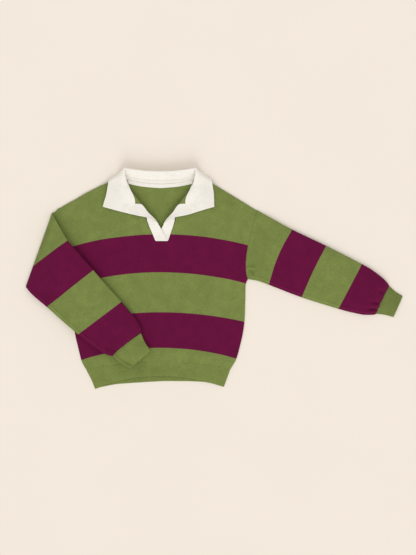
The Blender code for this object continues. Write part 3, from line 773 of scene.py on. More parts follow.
def hand_laid(plan):
    """Moves the -X side of the body to where it lies."""
    x, y = plan[..., 0].copy(), plan[..., 1].copy()
    high = rises(-x, HIGH_SHOULDER_X)
    plan[..., 1] += HIGH_SHOULDER * high * rises(y, HIGH_SHOULDER_Y)
    tip = rises(-x, TIP_X) * rises(y, TIP_Y)
    wide = WIDE_SIDE * fades(y, WIDE_SIDE_Y)
    wide += WIDE_SEAM * ridge(y, *WIDE_SEAM_AT)
    wide *= rises(y, WIDE_FADES_Y) * smooth(-x / RIB_SEAM_HALF)
    plan[..., 0] -= TIP_OUT * tip + wide
    return plan


def let_out(plan):
    """Lays the side edges a little further out."""
    x, y = plan[..., 0], plan[..., 1]
    near_side = smooth(np.abs(x) / half_width(y)) * (y < UNDERARM[1])
    plan[..., 0] += np.sign(x) * EDGE_OUT * near_side
    return plan


def lean_at(y):
    table = np.array(LEAN)
    return np.interp(y, table[:, 0], table[:, 1])


def lean_panel(plan):
    x, y = plan[..., 0], plan[..., 1]
    near = fades(np.abs(x), LEAN_FADES)
    plan[..., 0] += near * rises(y, LEAN_GROWS) * lean_at(y)
    return plan


def lean_collar(plan):
    x, y = plan[..., 0], plan[..., 1]
    over_x, over_y = COLLAR_POINT_OVER
    point = smooth((np.abs(x) - COLLAR_POINT_X) / over_x)
    point *= 1 - smooth((y - COLLAR_POINT_Y) / over_y)
    plan[..., 0] += lean_at(y) + COLLAR_POINT_LEAN * point
    return plan


def body_course(x, y):
    """Height on the centre line of the knitted row that passes through each point."""
    table = np.array(BODY_COURSES)
    side = np.clip(x / half_width(y), -1, 1) ** 2
    lower = np.where(x < 0, LEFT_DROP, 0)
    return y + side * (np.interp(y + side * MIDDLE_DROP, table[:, 0], table[:, 1]) + lower)


def body_panel(name, neck, neck_columns, foot_columns, height, relief, knit):
    plan = panel_plan(neck, neck_columns, foot_columns)
    fabric = np.stack([plan[..., 0], body_course(plan[..., 0], plan[..., 1])], axis=-1)
    x, y = plan[..., 0].copy(), plan[..., 1].copy()
    plan[0, :, 1] -= SEAM_LAP / 2
    leaning = lean_panel(plan.copy())
    z = height(leaning[..., 0], leaning[..., 1]) + relief(x, y)
    grid = np.concatenate([hand_laid(let_out(leaning)), z[..., None]], axis=-1)
    return grid, lay_cloth(name, grid, fabric, CLOTH, knit)


def edge_distances(x, y):
    """Distances from the side seam and armhole, and from the shoulder seam."""
    return half_width(y) - np.abs(x), shoulder_height(x) - y


def front_relief(x, y):
    """The front's swells and creases, its side seams' ridges, and its edges drawn to the back."""
    side, shoulder = edge_distances(x, y)
    inside = smooth(side / half_width(y) / FLAT_SIDE_SHARE)
    below_armhole = 1 - smooth((y - UNDERARM[1] + SIDE_SEAM_ENDS_BELOW) / SIDE_SEAM_ENDS_OVER)
    seams = sewn_seam(side, SIDE_SEAM_AT) * below_armhole * SIDE_SEAM_SHARE
    side_drawn = (1 - smooth(side / LAP_OVER)) * below_armhole
    drawn = SEAM_CLOSE * np.maximum(side_drawn, 1 - smooth(shoulder / LAP_OVER))
    return (swell(x, y) + SWELL_RAISE) * inside - creased(FRONT_CREASES, x, y) + seams - drawn


def back_relief(x, y):
    """The back lies on the floor: its creases are small hollows in its underside."""
    side, shoulder = edge_distances(x, y)
    drawn = SEAM_CLOSE * (1 - smooth(np.minimum(side, shoulder) / LAP_OVER))
    return np.maximum(-creased(BACK_CREASES, x, y), 0) + drawn


# Tubes

def flat_ring(width, upper_columns, lower_columns):
    """Section of a flattened tube, across from 0 to width: its upper layer, a turn, its lower layer
    and a turn. Gives the distance across, the height, and 1, -1 or 0 for upper, lower or turn."""
    angle = np.linspace(0, math.pi, EDGE_POINTS + 2)[1:-1]
    first = LOW + EDGE_TURN - EDGE_OUT
    last = width - first
    seam = first + np.array(UNDERARM_SEAM_STEPS)
    spaced = [np.linspace(seam[-1], last, columns)[1:] for columns in (upper_columns, lower_columns)]
    upper = [(a, LOW + PLY, 1) for a in (*seam, *spaced[0])]
    far = [(last + EDGE_TURN * math.sin(a), LOW + EDGE_TURN * (1 + math.cos(a)), 0) for a in angle]
    lower = [(a, LOW, -1) for a in (*seam, *spaced[1])][::-1]
    near = [(first - EDGE_TURN * math.sin(a), LOW + EDGE_TURN * (1 - math.cos(a)), 0) for a in angle]
    return np.array(upper + far + lower + near)


def gathered(gathers, share, from_end):
    """Depth of the gathers at a ring this far from the cuff's seam."""
    sunk = np.zeros_like(share)
    for place, width, length, depth in gathers:
        eased = 1 - smooth((from_end / length - GATHER_FULL_SHARE) / (1 - GATHER_FULL_SHARE))
        sunk += depth * eased * ridge(share, place, width * (1 + from_end / length / 2))
    return sunk


def middle_line(stations):
    stations = np.asarray(stations, float)
    return (stations[:, 0:2] + stations[:, 2:4]) / 2


def ring_lengths(stations):
    """Length along the tube's middle line to each ring."""
    return run_lengths(middle_line(stations))


def tube(stations, upper_columns, lower_columns, gathers=()):
    """Rings of a flat tube, each from its underarm edge to its top edge, the first one inside the
    seam. Gives their plan, height, layer, bulge, place on the cut cloth, and how much of the
    tube's fullness each point takes: little in the strip outside a sleeve's underarm seam."""
    plans, heights, bulges, fabrics, fills = [], [], [], [], []
    onward_length = ring_lengths(stations)
    for (top_x, top_y, under_x, under_y, bow, loft), reached in zip(stations, onward_length):
        foot, head = np.array([under_x, under_y]), np.array([top_x, top_y])
        width = norm(head - foot)
        across = (head - foot) / width
        onward = np.array([across[1], -across[0]])
        section = flat_ring(width, upper_columns, lower_columns)
        share = np.clip(section[:, 0] / width, 0, 1)
        skew = ARMHOLE_SKEW + (1 - ARMHOLE_SKEW) * smooth(reached / SKEW_FADES_OVER)
        plan = foot + across * section[:, :1] + onward * (bow * np.sin(math.pi * share**skew))[:, None]
        if reached == 0:
            plan = plan - onward * SEAM_LAP
        plans.append(plan)
        lapped = LAP_SQUEEZE * (1 - smooth(reached / LAP_OVER))
        heights.append(section[:, 1] + lapped * (1 - 2 * (section[:, 1] - LOW) / PLY))
        crown = 1 - (2 * share - 1) ** CROWN_POWER
        sunk = gathered(gathers, share, onward_length[-1] - reached) * np.minimum(crown * 2, 1)
        from_edge = section[:, 0] - section[0, 0]
        seam_end = UNDERARM_STRIP + UNDERARM_STRIP_OVER
        fill = np.ones_like(share)
        if gathers:
            fill = smooth((from_edge - UNDERARM_STRIP) / UNDERARM_STRIP_OVER)
        fill = UNDERARM_STRIP_FILL + (1 - UNDERARM_STRIP_FILL) * fill
        bulge = np.maximum(loft * crown * fill - sunk, LOWEST_GATHER)
        if gathers:
            beside = ridge(from_edge, seam_end + UNDERARM_RIDGE_PAST, SEAM_RIDGE_WIDTH)
            bulge += UNDERARM_RIDGE * beside * smooth(reached / SEAM_HOLDS_OVER)
            seam = ARMHOLE_SEAM_SHARE * sewn_seam(reached, ARMHOLE_SEAM_AT)
            bulge += seam * smooth(crown * ARMHOLE_SEAM_RISES)
        bulges.append(bulge)
        fills.append(fill)
        closed = np.vstack([section[:1, :2], section[:, :2]])
        round_length = np.cumsum(norm(np.diff(closed, axis=0), axis=1))
        fabrics.append(np.column_stack([round_length, np.full(len(section), reached)]))
    return (
        np.array(plans),
        np.array(heights),
        section[:, 2],
        np.array(bulges),
        np.array(fabrics),
        np.array(fills),
    )


def ring_rows(table, count, near_start=(0,), near_end=(0,)):
    at = along(middle_line(table), count, near_start=near_start, near_end=near_end)
    return through(table, at)


def fullness(stations):
    """How full the tube is at each ring, flat where a seam holds it."""
    length = ring_lengths(stations)[:, None]
    rising = SLEEVE_FULL * smooth(length / SLEEVE_FULL_OVER)
    return rising * smooth((length[-1] - length) / SEAM_HOLDS_OVER)


def spread_grid(points, full=0, creases=()):
    plan, height, layer, bulge, _, fill = points
    x, y = plan[..., 0], plan[..., 1]
    upper = layer > 0
    relief = (swell(x, y) * SLEEVE_SWELL_SHARE - creased(creases, x, y)) * upper
    held = np.clip(bulge / HELD_BELOW, HELD_LEAST, 1)
    z = height + bulge * upper + np.where(relief > 0, relief, relief * held)
    z = z + full * fill * (height - LOW) / PLY
    return np.concatenate([plan, z[..., None]], axis=2)


def to_minus_x(grid):
    return grid * np.array([-1, 1, 1])


FOLD_AXIS_Z = LOW + PLY + CLOTH / 2 + GAP / 2
FOLD_WAY = (np.array(FOLD_FOOT) - FOLD_TOP) / norm(np.array(FOLD_FOOT) - FOLD_TOP)
FOLD_OUT = np.array([-FOLD_WAY[1], FOLD_WAY[0]])
FOLD_START = np.array(FOLD_TOP) - FOLD_OUT * FOLD_AXIS_Z
FOLD_ARC = math.pi * (FOLD_AXIS_Z - LOW - EDGE_TURN)
FOLDED_PLY_Z = 2 * FOLD_AXIS_Z - LOW - PLY


def fold_row(turns):
    """A row of the flat sleeve that lies along the fold, between the sleeve's two edges."""
    past = turns * FOLD_ARC - FOLD_AXIS_Z
    row = []
    for point, slope in ((FOLD_TOP, TOP_EDGE_SLOPE), (FOLD_FOOT, UNDERARM_EDGE_SLOPE)):
        edge = np.array([1, slope])
        row.extend(np.array(point) + edge * past / (edge @ FOLD_OUT))
    return (*row, 0, FOLD_LOFT)


def under_folded_sleeve(x, y):
    """Height of the top of what the folded sleeve lies on. Outside the body and below the sleeve's
    own first stretch, it sinks to the floor."""
    before_fold = (FOLD_START - np.stack([x, y], axis=-1)) @ FOLD_OUT
    own_sleeve = LOW + PLY + CLOTH / 2 + TUCKED_LOFT * smooth(before_fold / TUCK_SINK)
    on_body = smooth((half_width(y) + BODY_EDGE_REACH - x) / BODY_EDGE_OVER)
    body = (front_height(x, y) + CLOTH / 2 + CLEAR) * on_body
    outside = np.minimum(x - half_width(y) - SAG_FROM_EDGE, FOLD_FOOT[1] + SAG_BELOW_FOOT - y)
    return np.maximum(own_sleeve, body) * (1 - smooth(outside / SAG_OVER)) + SLEEVE_CLEAR


def folded(points, full=0, creases=(), armhole_seam=0, at_armhole=0):
    """Folds a flat tube over along the fold's line, worked out on the +X side. The layer that comes
    out on top takes the bulge."""
    plan, height, layer, bulge, _, fill = points
    x, y = plan[..., 0], plan[..., 1]
    past = (plan - FOLD_START) @ FOLD_OUT
    line = plan - FOLD_OUT * past[..., None]
    relief = swell(x, y) * SLEEVE_SWELL_SHARE - creased(creases, x, y)
    tucked = np.minimum(bulge, TUCKED_LOFT + armhole_seam) * (layer > 0)
    tucked *= np.maximum(smooth(-past / TUCK_SINK), at_armhole * smooth(-past / TUCKED_SEAM_SINK))
    turned_up = (bulge + relief) * rises(past, BULGE_RISES) * (layer < 0)
    level = height + tucked
    angle = np.clip(past * math.pi / FOLD_ARC, 0, math.pi)
    radius = FOLD_AXIS_Z - level
    out = np.where(past < 0, past, np.where(past < FOLD_ARC, radius * np.sin(angle), FOLD_ARC - past))
    z = np.where(past < 0, level, FOLD_AXIS_Z - radius * np.cos(angle))
    seen = line + FOLD_OUT * out[..., None]
    rest = under_folded_sleeve(seen[..., 0], seen[..., 1]) + GAP + CLOTH / 2
    settled = smooth((past - FOLD_ARC) / SETTLES_OVER)
    turned_share = 1 - (height - LOW) / PLY
    z = z + (rest - FOLDED_PLY_Z) * settled + turned_up + full * fill * turned_share * settled
    columns = np.linspace(0, 1, (layer > 0).sum())
    to_top = np.zeros(len(layer))
    to_top[layer > 0] = columns
    to_top[layer < 0] = np.linspace(1, 0, (layer < 0).sum())
    to_top[np.flatnonzero(layer == 0)[:EDGE_POINTS]] = 1
    off = smooth((past - FOLD_ARC) / STAND_OFF_RISES_OVER)
    off *= fades(past, STAND_OFF_FADES)
    z = z + STAND_OFF * off * rises(to_top, STAND_OFF_ACROSS)
    z = z + UNDERARM_OFF * settled * (1 - smooth(to_top / UNDERARM_OFF_SHARE))
    return np.concatenate([seen, z[..., None]], axis=-1)


def course_marks():
    """Lengths along the folded sleeve of its known courses, between the middles of their lines."""
    return ring_lengths(FOLDED_COURSES)


def folded_course(plan):
    """Length along the folded sleeve of the knitted row through each point of its flat plan."""
    marks = course_marks()
    passed = []
    for top_x, top_y, under_x, under_y in FOLDED_COURSES:
        way = np.array([top_x - under_x, top_y - under_y])
        way /= norm(way)
        passed.append((plan[..., 0] - under_x) * way[1] - (plan[..., 1] - under_y) * way[0])
    course = np.full(plan.shape[:2], marks[-1]) + passed[-1]
    for k in range(len(marks) - 2, -1, -1):
        share = passed[k] / (passed[k] - passed[k + 1])
        between = marks[k] + (marks[k + 1] - marks[k]) * share
        course = np.where(passed[k + 1] < 0, between, course)
    return course


def spread_marks():
    """Lengths along the spread sleeve of its stripe lines."""
    at = np.linspace(0, len(SPREAD_SLEEVE) - 1, MARK_SAMPLES)
    return np.interp(SPREAD_STRIPE_ROWS, at, ring_lengths(through(SPREAD_SLEEVE, at)))


def spread_sleeve(knit):
    rings = ring_rows(SPREAD_SLEEVE, SPREAD_RINGS, ARMPIT_STEPS, GATHER_STEPS)
    points = tube(rings, SEEN_COLUMNS, UNSEEN_COLUMNS, SPREAD_GATHERS)
    grid = spread_grid(points, fullness(rings), SPREAD_CREASES)
    piece = lay_cloth("sleeve_spread_out", grid, points[4], CLOTH, knit, ring=True)
    declare(piece, "spread_sleeve", grid, ring=True)


def folded_sleeve(knit):
    steps = along([(i, i) for i in range(len(FOLD_ROWS))], FOLD_RINGS)
    fold_turns = through([(turns,) for turns in FOLD_ROWS], steps)
    fold_rows = [fold_row(turns[0]) for turns in fold_turns]
    tucked = ring_rows([ARMHOLE_END, fold_rows[0]], TUCKED_RINGS, near_start=SEAM_STEPS)[:-1]
    rings = np.vstack([tucked, fold_rows, ring_rows(FOLDED_SLEEVE, FOLDED_RINGS, near_end=GATHER_STEPS)])
    points = tube(rings, UNSEEN_COLUMNS, SEEN_COLUMNS, FOLDED_GATHERS)
    fabric = points[4].copy()
    fabric[..., 1] = folded_course(points[0])
    length = ring_lengths(rings)[:, None]
    armhole_seam = ARMHOLE_SEAM_SHARE * sewn_seam(length, ARMHOLE_SEAM_AT)
    beside_seam = 1 - smooth(length / TUCKED_SEAM_OVER)
    grid = to_minus_x(folded(points, fullness(rings), FOLDED_CREASES, armhole_seam, beside_seam))
    at_armhole = 1 - smooth(ring_lengths(rings) / FOLLOWS_BODY_OVER)
    grid = grid + (hand_laid(grid.copy()) - grid) * at_armhole[:, None, None]
    piece = lay_cloth("sleeve_folded_over", grid, fabric, CLOTH, knit, ring=True)
    declare(piece, "folded_sleeve", grid, ring=True)


def cuffs(rib, painted_shade_rib):
    points = tube(ring_rows(SPREAD_CUFF, CUFF_RINGS, SEAM_STEPS), SEEN_COLUMNS // 2, UNSEEN_COLUMNS)
    grid = spread_grid(points)
    # The spread cuff takes the darker copy of the olive rib, painted shade
    piece = lay_cloth("cuff_of_spread_sleeve", grid, points[4], CLOTH, painted_shade_rib, ring=True)
    declare(piece, "spread_cuff", grid, ring=True)
    points = tube(ring_rows(FOLDED_CUFF, CUFF_RINGS, SEAM_STEPS), UNSEEN_COLUMNS, SEEN_COLUMNS // 2)
    grid = to_minus_x(folded(points, CUFF_FULL))
    grid[..., 2] += CUFF_MOUTH_OFF * smooth(np.linspace(0, 1, len(grid)))[:, None]
    piece = lay_cloth("cuff_of_folded_sleeve", grid, points[4], CLOTH, rib, ring=True)
    declare(piece, "folded_cuff", grid, ring=True)


def hem_rib(rib):
    grid, fabric = [], []
    back_hem = np.array(BACK_HEM)
    near_seam = np.array(SEAM_STEPS[:-1]) / RIB_SEAM_Y
    shares = np.concatenate([near_seam, np.linspace(HEM_EVEN_FROM, 1, HEM_RINGS)])
    for share in shares:
        half = RIB_SEAM_HALF + (HEM_HALF - RIB_SEAM_HALF) * share
        section = flat_ring(2 * half, HEM_COLUMNS, HEM_COLUMNS)
        upness = (section[:, 1] - LOW) / PLY
        x = section[:, 0] - half
        side = (x / half) ** 2
        seam_y = RIB_SEAM_Y - RIB_SEAM_DROP * side
        front_y = FRONT_HEM_Y - (FRONT_HEM_DROP + np.where(x < 0, LEFT_HEM_DROP, 0)) * side
        back_y = np.interp(x, back_hem[:, 0], back_hem[:, 1])
        y = seam_y * (1 - share) + (upness * front_y + (1 - upness) * back_y) * share
        if share == 0:
            y = y + SEAM_LAP
        inside = smooth((half - np.abs(x)) / HEM_SIDE_OVER)
        loft = body_loft(x * RIB_SEAM_HALF / half, seam_y)
        sunk = creased(FRONT_CREASES, x, seam_y) * (1 - smooth(share / HEM_CREASES_SHARE))
        mouth = HEM_MOUTH * (1 - side) ** 2 * rises(share, HEM_MOUTH_OPENS)
        relief = swell(x, seam_y) * (1 - share / 2) * inside + SWELL_RAISE * inside * (1 - share)
        squeeze = LAP_SQUEEZE * (1 - smooth(share * RIB_SEAM_Y / LAP_OVER))
        z = section[:, 1] + squeeze * (1 - 2 * upness) + upness * (loft + mouth + relief - sunk)
        grid.append(np.column_stack([x, y, z]))
        around = section[:, 0] * RIB_SEAM_HALF / half
        fabric.append(np.column_stack([around, np.full(len(x), share * RIB_SEAM_Y)]))
    grid = hand_laid(np.array(grid))
    piece = lay_cloth("hem_band", grid, np.array(fabric), CLOTH, rib, ring=True)
    declare(piece, "hem_rib", grid, ring=True)


# Collar, placket and tape

def collar_section(row, station):
    """One section of the collar: up the stand from the neck seam, round the roll, down the leaf."""
    seam, centre, outer = row[0:3], row[3:6], row[10:13]
    radius, outward, turn_from, turn_to = row[6], math.radians(row[7]), row[8], row[9]
    out = np.array([math.cos(outward), math.sin(outward), 0])
    up = np.array([0, 0, 1])
    raised = COLLAR_RAISE * fades(station, COLLAR_RAISE_FADES)
    centre = centre + raised * up
    angles = np.radians(np.linspace(turn_from, turn_to, ROLL_POINTS))
    roll = np.array([centre + radius * (math.cos(a) * out + math.sin(a) * up) for a in angles])
    up_the_stand = np.linspace(0, STAND_ENDS_AT, STAND_POINTS)
    rising = np.array([1, 1, 0])
    stand = np.array([seam + (roll[0] - seam) * (rising * t + up * t**STAND_CURVE) for t in up_the_stand])
    from_seam = up_the_stand * norm(roll[0] - seam)
    seam_lies = NECK_SEAM_RIDGE * ridge(from_seam, *NECK_SEAM_AT)
    seam_lies -= NECK_SEAM_GROOVE * ridge(from_seam, *NECK_GROOVE_AT)
    stand[:, 2] += seam_lies * fades(station, NECK_SEAM_ENDS)
    to_edge = np.array(COLLAR_EDGE_STEPS[::-1]) / norm(outer - roll[-1])
    shares = np.concatenate([np.linspace(0, 1 - to_edge[0], LEAF_POINTS)[1:], 1 - to_edge[1:]])
    leaf = np.array([roll[-1] + (outer - roll[-1]) * t for t in shares])
    leaf[:, 2] = outer[2] + (roll[-1][2] - outer[2]) * (1 - smooth(shares / LEAF_LIES_FROM))
    return np.vstack([stand, roll, leaf])


def arc_lengths(grid):
    """Lengths across each row and along each column, measured on the cloth itself."""
    across = norm(np.diff(grid, axis=1), axis=-1)
    across = np.concatenate([np.zeros((len(grid), 1)), np.cumsum(across, axis=1)], axis=1)
    onward = norm(np.diff(grid, axis=0), axis=-1).mean(axis=1)
    onward = np.concatenate([[0], np.cumsum(onward)])
    return across, np.broadcast_to(onward[:, None], across.shape)


def beaded(across, bead, thin_share):
    """Share of the full thickness at each point: all of it in the bead along the free edge."""
    return thin_share + (1 - thin_share) * fades(across[:, -1:] - across, bead)


def collar(knit):
    at = along(COLLAR, COLLAR_STATIONS // 2 + 1, columns=13)
    half = np.array([collar_section(row, station) for row, station in zip(through(COLLAR, at), at)])
    grid = lean_collar(np.concatenate([to_minus_x(half[::-1]), half[1:]]))
    stations = np.concatenate([at[::-1], at[1:]])[:, None]
    is_leaf = np.arange(grid.shape[1]) >= STAND_POINTS
    leaf_on_front = rises(stations, LEAF_ON_FRONT) * is_leaf
    all_on_front = rises(stations, COLLAR_ON_FRONT)
    on_front = np.maximum(leaf_on_front, all_on_front)
    lying = front_height(grid[..., 0], grid[..., 1]) + CLOTH / 2 + LEAF_CLEAR + COLLAR_CLOTH / 2
    grid[..., 2] += np.maximum(lying - grid[..., 2], 0) * on_front
    down_the_leaf = np.clip(np.linspace(-LEAF_STARTS_AT, 1, grid.shape[1]), 0, 1)
    grid[..., 2] += LEAF_SPRING * smooth(down_the_leaf) * leaf_on_front
    grid[..., 2] = np.maximum(grid[..., 2], COLLAR_CLOTH / 2 + GAP)
    across, onward = arc_lengths(grid)
    edge = beaded(across, COLLAR_BEAD, COLLAR_THIN_SHARE)
    fabric = np.stack([onward, across], axis=-1)
    piece = lay_cloth("collar_knit_piece", grid, fabric, COLLAR_CLOTH, knit, edge=edge)
    declare(piece, "collar", grid)


def strip_section(row, step):
    """One section of a placket strip: in from its seam, then turned out over itself where it is.
    Below the opening's foot one strip steps over the other."""
    seam, crease, free, base = row[0:2], row[2:4], row[4:6], row[6]
    tilt = step * (1 - smooth((seam[1] - OPENING_FOOT_Y) / (STRIP_LEVEL_FROM_Y - OPENING_FOOT_Y)))
    inward = (crease - seam) / norm(crease - seam)
    turned = norm(free - crease)
    turn = min(math.pi, turned / STRIP_TURN)
    inner_end = crease - inward * STRIP_TURN * math.sin(min(turn, math.pi / 2))
    turn_end = inner_end + inward * STRIP_TURN * math.sin(turn)
    is_turned = smooth(turned / STRIP_TURNED_FROM)
    free = turn_end + (free - turn_end) * is_turned
    run, arc = norm(inner_end - seam), turn * STRIP_TURN
    lengths = (run, arc, norm(free - turn_end))
    stops = [0]
    for length in lengths:
        stops.extend(stops[-1] + np.linspace(0, length, STRIP_POINTS)[1:])
    even = np.linspace(0, stops[-1], len(stops))
    points = []
    for at in even + (np.array(stops) - even) * is_turned:
        angle = np.clip((at - run) / STRIP_TURN, 0, turn)
        place = seam + inward * (min(at, run) + STRIP_TURN * math.sin(angle))
        if at > run + arc:
            place = turn_end + (free - turn_end) * (at - run - arc) / lengths[2]
        past_turn = np.clip((at - run - arc) / max(lengths[2], STRIP_TURN), 0, 1)
        spring = STRIP_SPRING * is_turned * past_turn
        height = base + tilt * min(at / run, 1) + STRIP_TURN * (1 - math.cos(angle)) + spring
        points.append((place[0], place[1], height))
    return points


def placket_strip(name, node, side, step, knit):
    rows = through(STRIP, along(STRIP, STRIP_STATIONS, columns=6))
    grid = np.array([strip_section(row, step) for row in rows]) * np.array([side, 1, 1])
    grid = lean_collar(grid)
    grid[..., 2] += front_height(grid[..., 0], grid[..., 1])
    across, onward = arc_lengths(grid)
    edge = beaded(across, STRIP_BEAD, STRIP_CLOTH / STRIP_EDGE_CLOTH)
    fabric = np.stack([onward, across], axis=-1)
    piece = lay_cloth(name, grid, fabric, STRIP_EDGE_CLOTH, knit, edge=edge)
    declare(piece, node, grid)


def neck_tape(knit):
    half = evenly(BACK_NECK[1:], TAPE_STATIONS) * np.array([TAPE_SHARE, 1])
    line = lean_panel(np.vstack([half * np.array([-1, 1]), half[::-1][1:]]))
    grid = []
    for x, y in line:
        level = back_height(x, y) + CLOTH / 2 + GAP + TAPE_CLOTH / 2
        grid.append([(x, y + off, level + above) for off, above in TAPE_SECTION])
    grid = np.array(grid)
    across, onward = arc_lengths(grid)
    piece = lay_cloth("back_neck_tape", grid, np.stack([onward, across], axis=-1), TAPE_CLOTH, knit)
    declare(piece, "neck_tape", grid)


# Materials

def linear(hex_colour):
    """An sRGB hex value as linear red, green, blue and alpha."""
    parts = [int(hex_colour[i : i + 2], 16) / 255 for i in (0, 2, 4)]
    return (*[p / 12.92 if p <= 0.04045 else ((p + 0.055) / 1.055) ** 2.4 for p in parts], 1)


def add_node(tree, kind, settings=None, inputs=None):
    """Adds a node with its settings. An input is a value, or another node's output to link."""
    node = tree.nodes.new("ShaderNode" + kind)
    for key, value in (settings or {}).items():
        setattr(node, key, value)
    for key, value in (inputs or {}).items():
        if isinstance(value, bpy.types.NodeSocket):
            tree.links.new(value, node.inputs[key])
        else:
            node.inputs[key].default_value = value
    return node


def maths(tree, operation, a, b=0):
    return add_node(tree, "Math", {"operation": operation}, {0: a, 1: b}).outputs[0]


def scaled(tree, vector, by):
    return add_node(tree, "VectorMath", {"operation": "SCALE"}, {0: vector, "Scale": by}).outputs[0]


def noise(tree, place, scale, detail):
    inputs = {"Vector": place, "Scale": scale, "Detail": detail}
    return add_node(tree, "TexNoise", None, inputs).outputs["Fac"]


def mapped(tree, value, low, high, to_low, to_high):
    """Stretches value, which runs from low to high, to run from to_low to to_high."""
    inputs = {"Value": value, "From Min": low, "From Max": high, "To Min": to_low, "To Max": to_high}
    return add_node(tree, "MapRange", None, inputs).outputs[0]


# Dyed cotton and undyed cotton, as the photo's light shows them
OLIVE = "7b8949"
PLUM = "670f3d"
OLIVE_RIB = "7a8748"
# The spread cuff's rib: the olive rib darkened, painted shade
OLIVE_RIB_PAINTED_SHADE = "707d43"
ECRU = "f5f1e9"
ECRU_RIB = "f6f2ea"
PAPER = "f4ebe0"

WALE = 2.4
COURSE = 1.9
RIB_PAIR = 3.2
LEG_SLANT = 1.6
CLOUD_SHADE = 0.08
FIBRE_SHADE = 0.14
FUZZ_RELIEF = 0.35


def cotton(tree, colour, height, relief_mm, uneven=1):
    """Combed cotton yarn: matt, a little fuzzy at grazing angles, and never quite even in colour. Its
    colour is also darker in the hollows of the stitches and lighter on their crowns: painted shade and
    highlight.
    """
    place = add_node(tree, "TexCoord").outputs["Object"]
    cloudy = noise(tree, place, 34, 4)
    fibres = noise(tree, place, 300, 4)
    clouds = mapped(tree, cloudy, 0.3, 0.7, 1 - CLOUD_SHADE * uneven, 1 + CLOUD_SHADE * uneven)
    fibre = mapped(tree, fibres, 0.3, 0.7, 1 - FIBRE_SHADE * uneven, 1 + FIBRE_SHADE * uneven)
    # Painted shade and highlight: the colour is darker in the stitches' hollows and the rib's furrows, and
    # lighter on their crowns; it multiplies the yarn's random tone
    stitch = mapped(tree, height, 0, 1, 0.9, 1.05)
    tone_and_painted_shade = maths(tree, "MULTIPLY", maths(tree, "MULTIPLY", clouds, fibre), stitch)
    tint = scaled(tree, colour, tone_and_painted_shade)
    lumpy = maths(tree, "ADD", height, maths(tree, "MULTIPLY", fibres, FUZZ_RELIEF))
    bump = {"Height": lumpy, "Strength": 0.6, "Distance": relief_mm * MM}
    normal = add_node(tree, "Bump", None, bump).outputs[0]
    shader = tree.nodes["Principled BSDF"]
    tree.links.new(tint, shader.inputs["Base Color"])
    tree.links.new(normal, shader.inputs["Normal"])
    shader.inputs["Roughness"].default_value = 0.93
    shader.inputs["Specular IOR Level"].default_value = 0.08
    shader.inputs["Sheen Weight"].default_value = 0.02
    shader.inputs["Sheen Roughness"].default_value = 0.6


def new_material(name):
    material = bpy.data.materials.new(name)
    material.use_nodes = True
    return material, material.node_tree


def on_fabric(tree):
    """Lengths in millimetres across and along the knitting."""
    spot = add_node(tree, "UVMap", {"uv_map": "fabric"}).outputs["UV"]
    spot = scaled(tree, spot, 1 / MM)
    parts = add_node(tree, "SeparateXYZ", None, {0: spot})
    return parts.outputs[0], parts.outputs[1]


def plain_stitches(tree, across, onward):
    """Height of stocking stitch, with its columns of small Vs. Real ones are about 1.5 mm wide and
    wouldn't show, so these are drawn larger."""
    leg = maths(tree, "PINGPONG", maths(tree, "DIVIDE", across, WALE), 0.5)
    row = maths(tree, "DIVIDE", onward, COURSE)
    slant = maths(tree, "ADD", row, maths(tree, "MULTIPLY", leg, LEG_SLANT))
    loop = maths(tree, "PINGPONG", slant, 0.5)
    rounded = maths(tree, "SINE", maths(tree, "MULTIPLY", leg, 2 * math.pi))
    return maths(tree, "MULTIPLY", rounded, maths(tree, "ADD", loop, 0.5))


def ribs(tree, across):
    """Height of one by one rib, a rounded ridge and a furrow in each pair of wales."""
    wave = maths(tree, "SINE", maths(tree, "MULTIPLY", across, 2 * math.pi / RIB_PAIR))
    return maths(tree, "ADD", maths(tree, "MULTIPLY", wave, 0.5), 0.5)


def striped_jersey(name, lines, first, second):
    """Combed cotton jersey knitted in blocks of two colours, with a clean change of yarn at a
    whole row. It reads as soft, matt and slightly clouded."""
    material, tree = new_material(name)
    across, onward = on_fabric(tree)
    passed = 0
    for line in lines:
        passed = maths(tree, "ADD", maths(tree, "GREATER_THAN", onward, line), passed)
    dyes = {"Factor": maths(tree, "MODULO", passed, 2), 6: linear(first), 7: linear(second)}
    blocks = add_node(tree, "Mix", {"data_type": "RGBA"}, dyes).outputs[2]
    cotton(tree, blocks, plain_stitches(tree, across, onward), 0.35)
    return material


def plain_knit(name, colour, stitches, relief_mm, uneven=1):
    """Cotton in one colour, in the stitch that is given."""
    material, tree = new_material(name)
    across, onward = on_fabric(tree)
    height = ribs(tree, across) if stitches == "rib" else plain_stitches(tree, across, onward)
    cotton(tree, linear(colour)[:3], height, relief_mm, uneven)
    return material


def seamless_paper():
    """Matt studio paper, cream and almost even."""
    material, tree = new_material("cream seamless paper")
    place = add_node(tree, "TexCoord").outputs["Object"]
    clouds = mapped(tree, noise(tree, place, 3, 2), 0, 1, 0.985, 1.015)
    tint = scaled(tree, linear(PAPER)[:3], clouds)
    shader = tree.nodes["Principled BSDF"]
    tree.links.new(tint, shader.inputs["Base Color"])
    shader.inputs["Roughness"].default_value = 0.95
    shader.inputs["Specular IOR Level"].default_value = 0.1
    return material


# Studio

FLOOR_SIZE = 9
PHOTO_CENTRE_X = -0.018
CAMERA_HEIGHT = 3.2375
LENS = 70
SENSOR = 36
WORLD_LIGHT = 0.81
WORLD_COLOUR = "fffdfa"
# One broad key light, as even over the floor as a big softbox far away
KEY_STRENGTH = 1.09
KEY_ANGLE = 44
KEY_HEIGHT = 33
KEY_FROM = 4


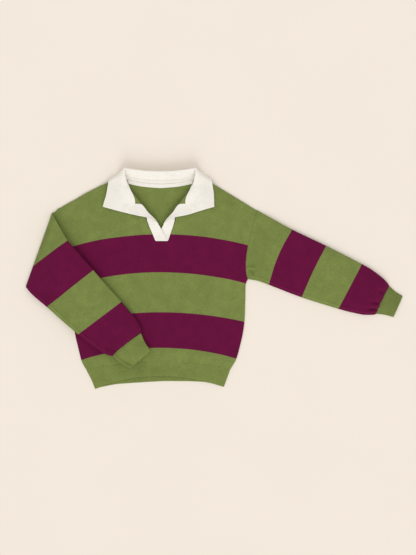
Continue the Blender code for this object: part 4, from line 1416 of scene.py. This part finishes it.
def studio():
    deselect()
    bpy.ops.mesh.primitive_plane_add(size=FLOOR_SIZE)
    floor = bpy.context.object
    floor.name = "floor"
    floor.data.materials.append(seamless_paper())

    bpy.ops.object.light_add(type="SUN", location=(0, -1.5, 1.5))
    key = bpy.context.object
    key.name = "soft_key"
    key.data.angle = math.radians(KEY_ANGLE)
    key.data.energy = KEY_STRENGTH
    key.rotation_euler = (math.radians(90 - KEY_HEIGHT), 0, math.radians(KEY_FROM))

    world = bpy.data.worlds.new("studio")
    world.use_nodes = True
    sky = world.node_tree.nodes["Background"]
    sky.inputs["Color"].default_value = linear(WORLD_COLOUR)
    sky.inputs["Strength"].default_value = WORLD_LIGHT
    bpy.context.scene.world = world

    bpy.ops.object.camera_add(location=(PHOTO_CENTRE_X, 0, CAMERA_HEIGHT), rotation=(0, 0, 0))
    camera = bpy.context.object
    camera.name = "overhead_camera"
    camera.data.lens = LENS
    camera.data.sensor_width = SENSOR
    bpy.context.scene.camera = camera
    bpy.context.scene.view_settings.view_transform = "Standard"
    bpy.context.scene.view_settings.look = "None"


def main():
    studio()
    body = striped_jersey("olive and plum cotton jersey", BODY_STRIPE_LINES, OLIVE, PLUM)
    spread = striped_jersey("jersey of the spread sleeve", tuple(spread_marks()), OLIVE, PLUM)
    over = striped_jersey("jersey of the folded sleeve", tuple(course_marks()[1:4]), OLIVE, PLUM)
    rib = plain_knit("olive cotton rib", OLIVE_RIB, "rib", 0.45)
    ecru = plain_knit("ecru cotton collar knit", ECRU, "plain", 0.25, 0.3)
    ecru_strip = plain_knit("ecru cotton placket knit", ECRU_RIB, "plain", 0.2, 0.3)

    grid, piece = body_panel("back_panel", BACK_NECK, BACK_NECK_COLUMNS, 0, back_height, back_relief, body)
    declare(piece, "back", grid, shaped=True)
    grid, piece = body_panel(
        "front_panel", FRONT_NECK, FRONT_NECK_COLUMNS, FOOT_COLUMNS, front_height, front_relief, body
    )
    declare(piece, "front", grid, shaped=True)
    spread_sleeve(spread)
    folded_sleeve(over)
    cuffs(rib, plain_knit("olive cotton rib with painted shade", OLIVE_RIB_PAINTED_SHADE, "rib", 0.45))
    hem_rib(rib)
    collar(ecru)
    placket_strip("placket_strip_over", "placket_over", -1, STRIP_CLOTH + GAP, ecru_strip)
    placket_strip("placket_strip_under", "placket_under", 1, -(STRIP_CLOTH + GAP), ecru_strip)
    neck_tape(ecru_strip)


main()
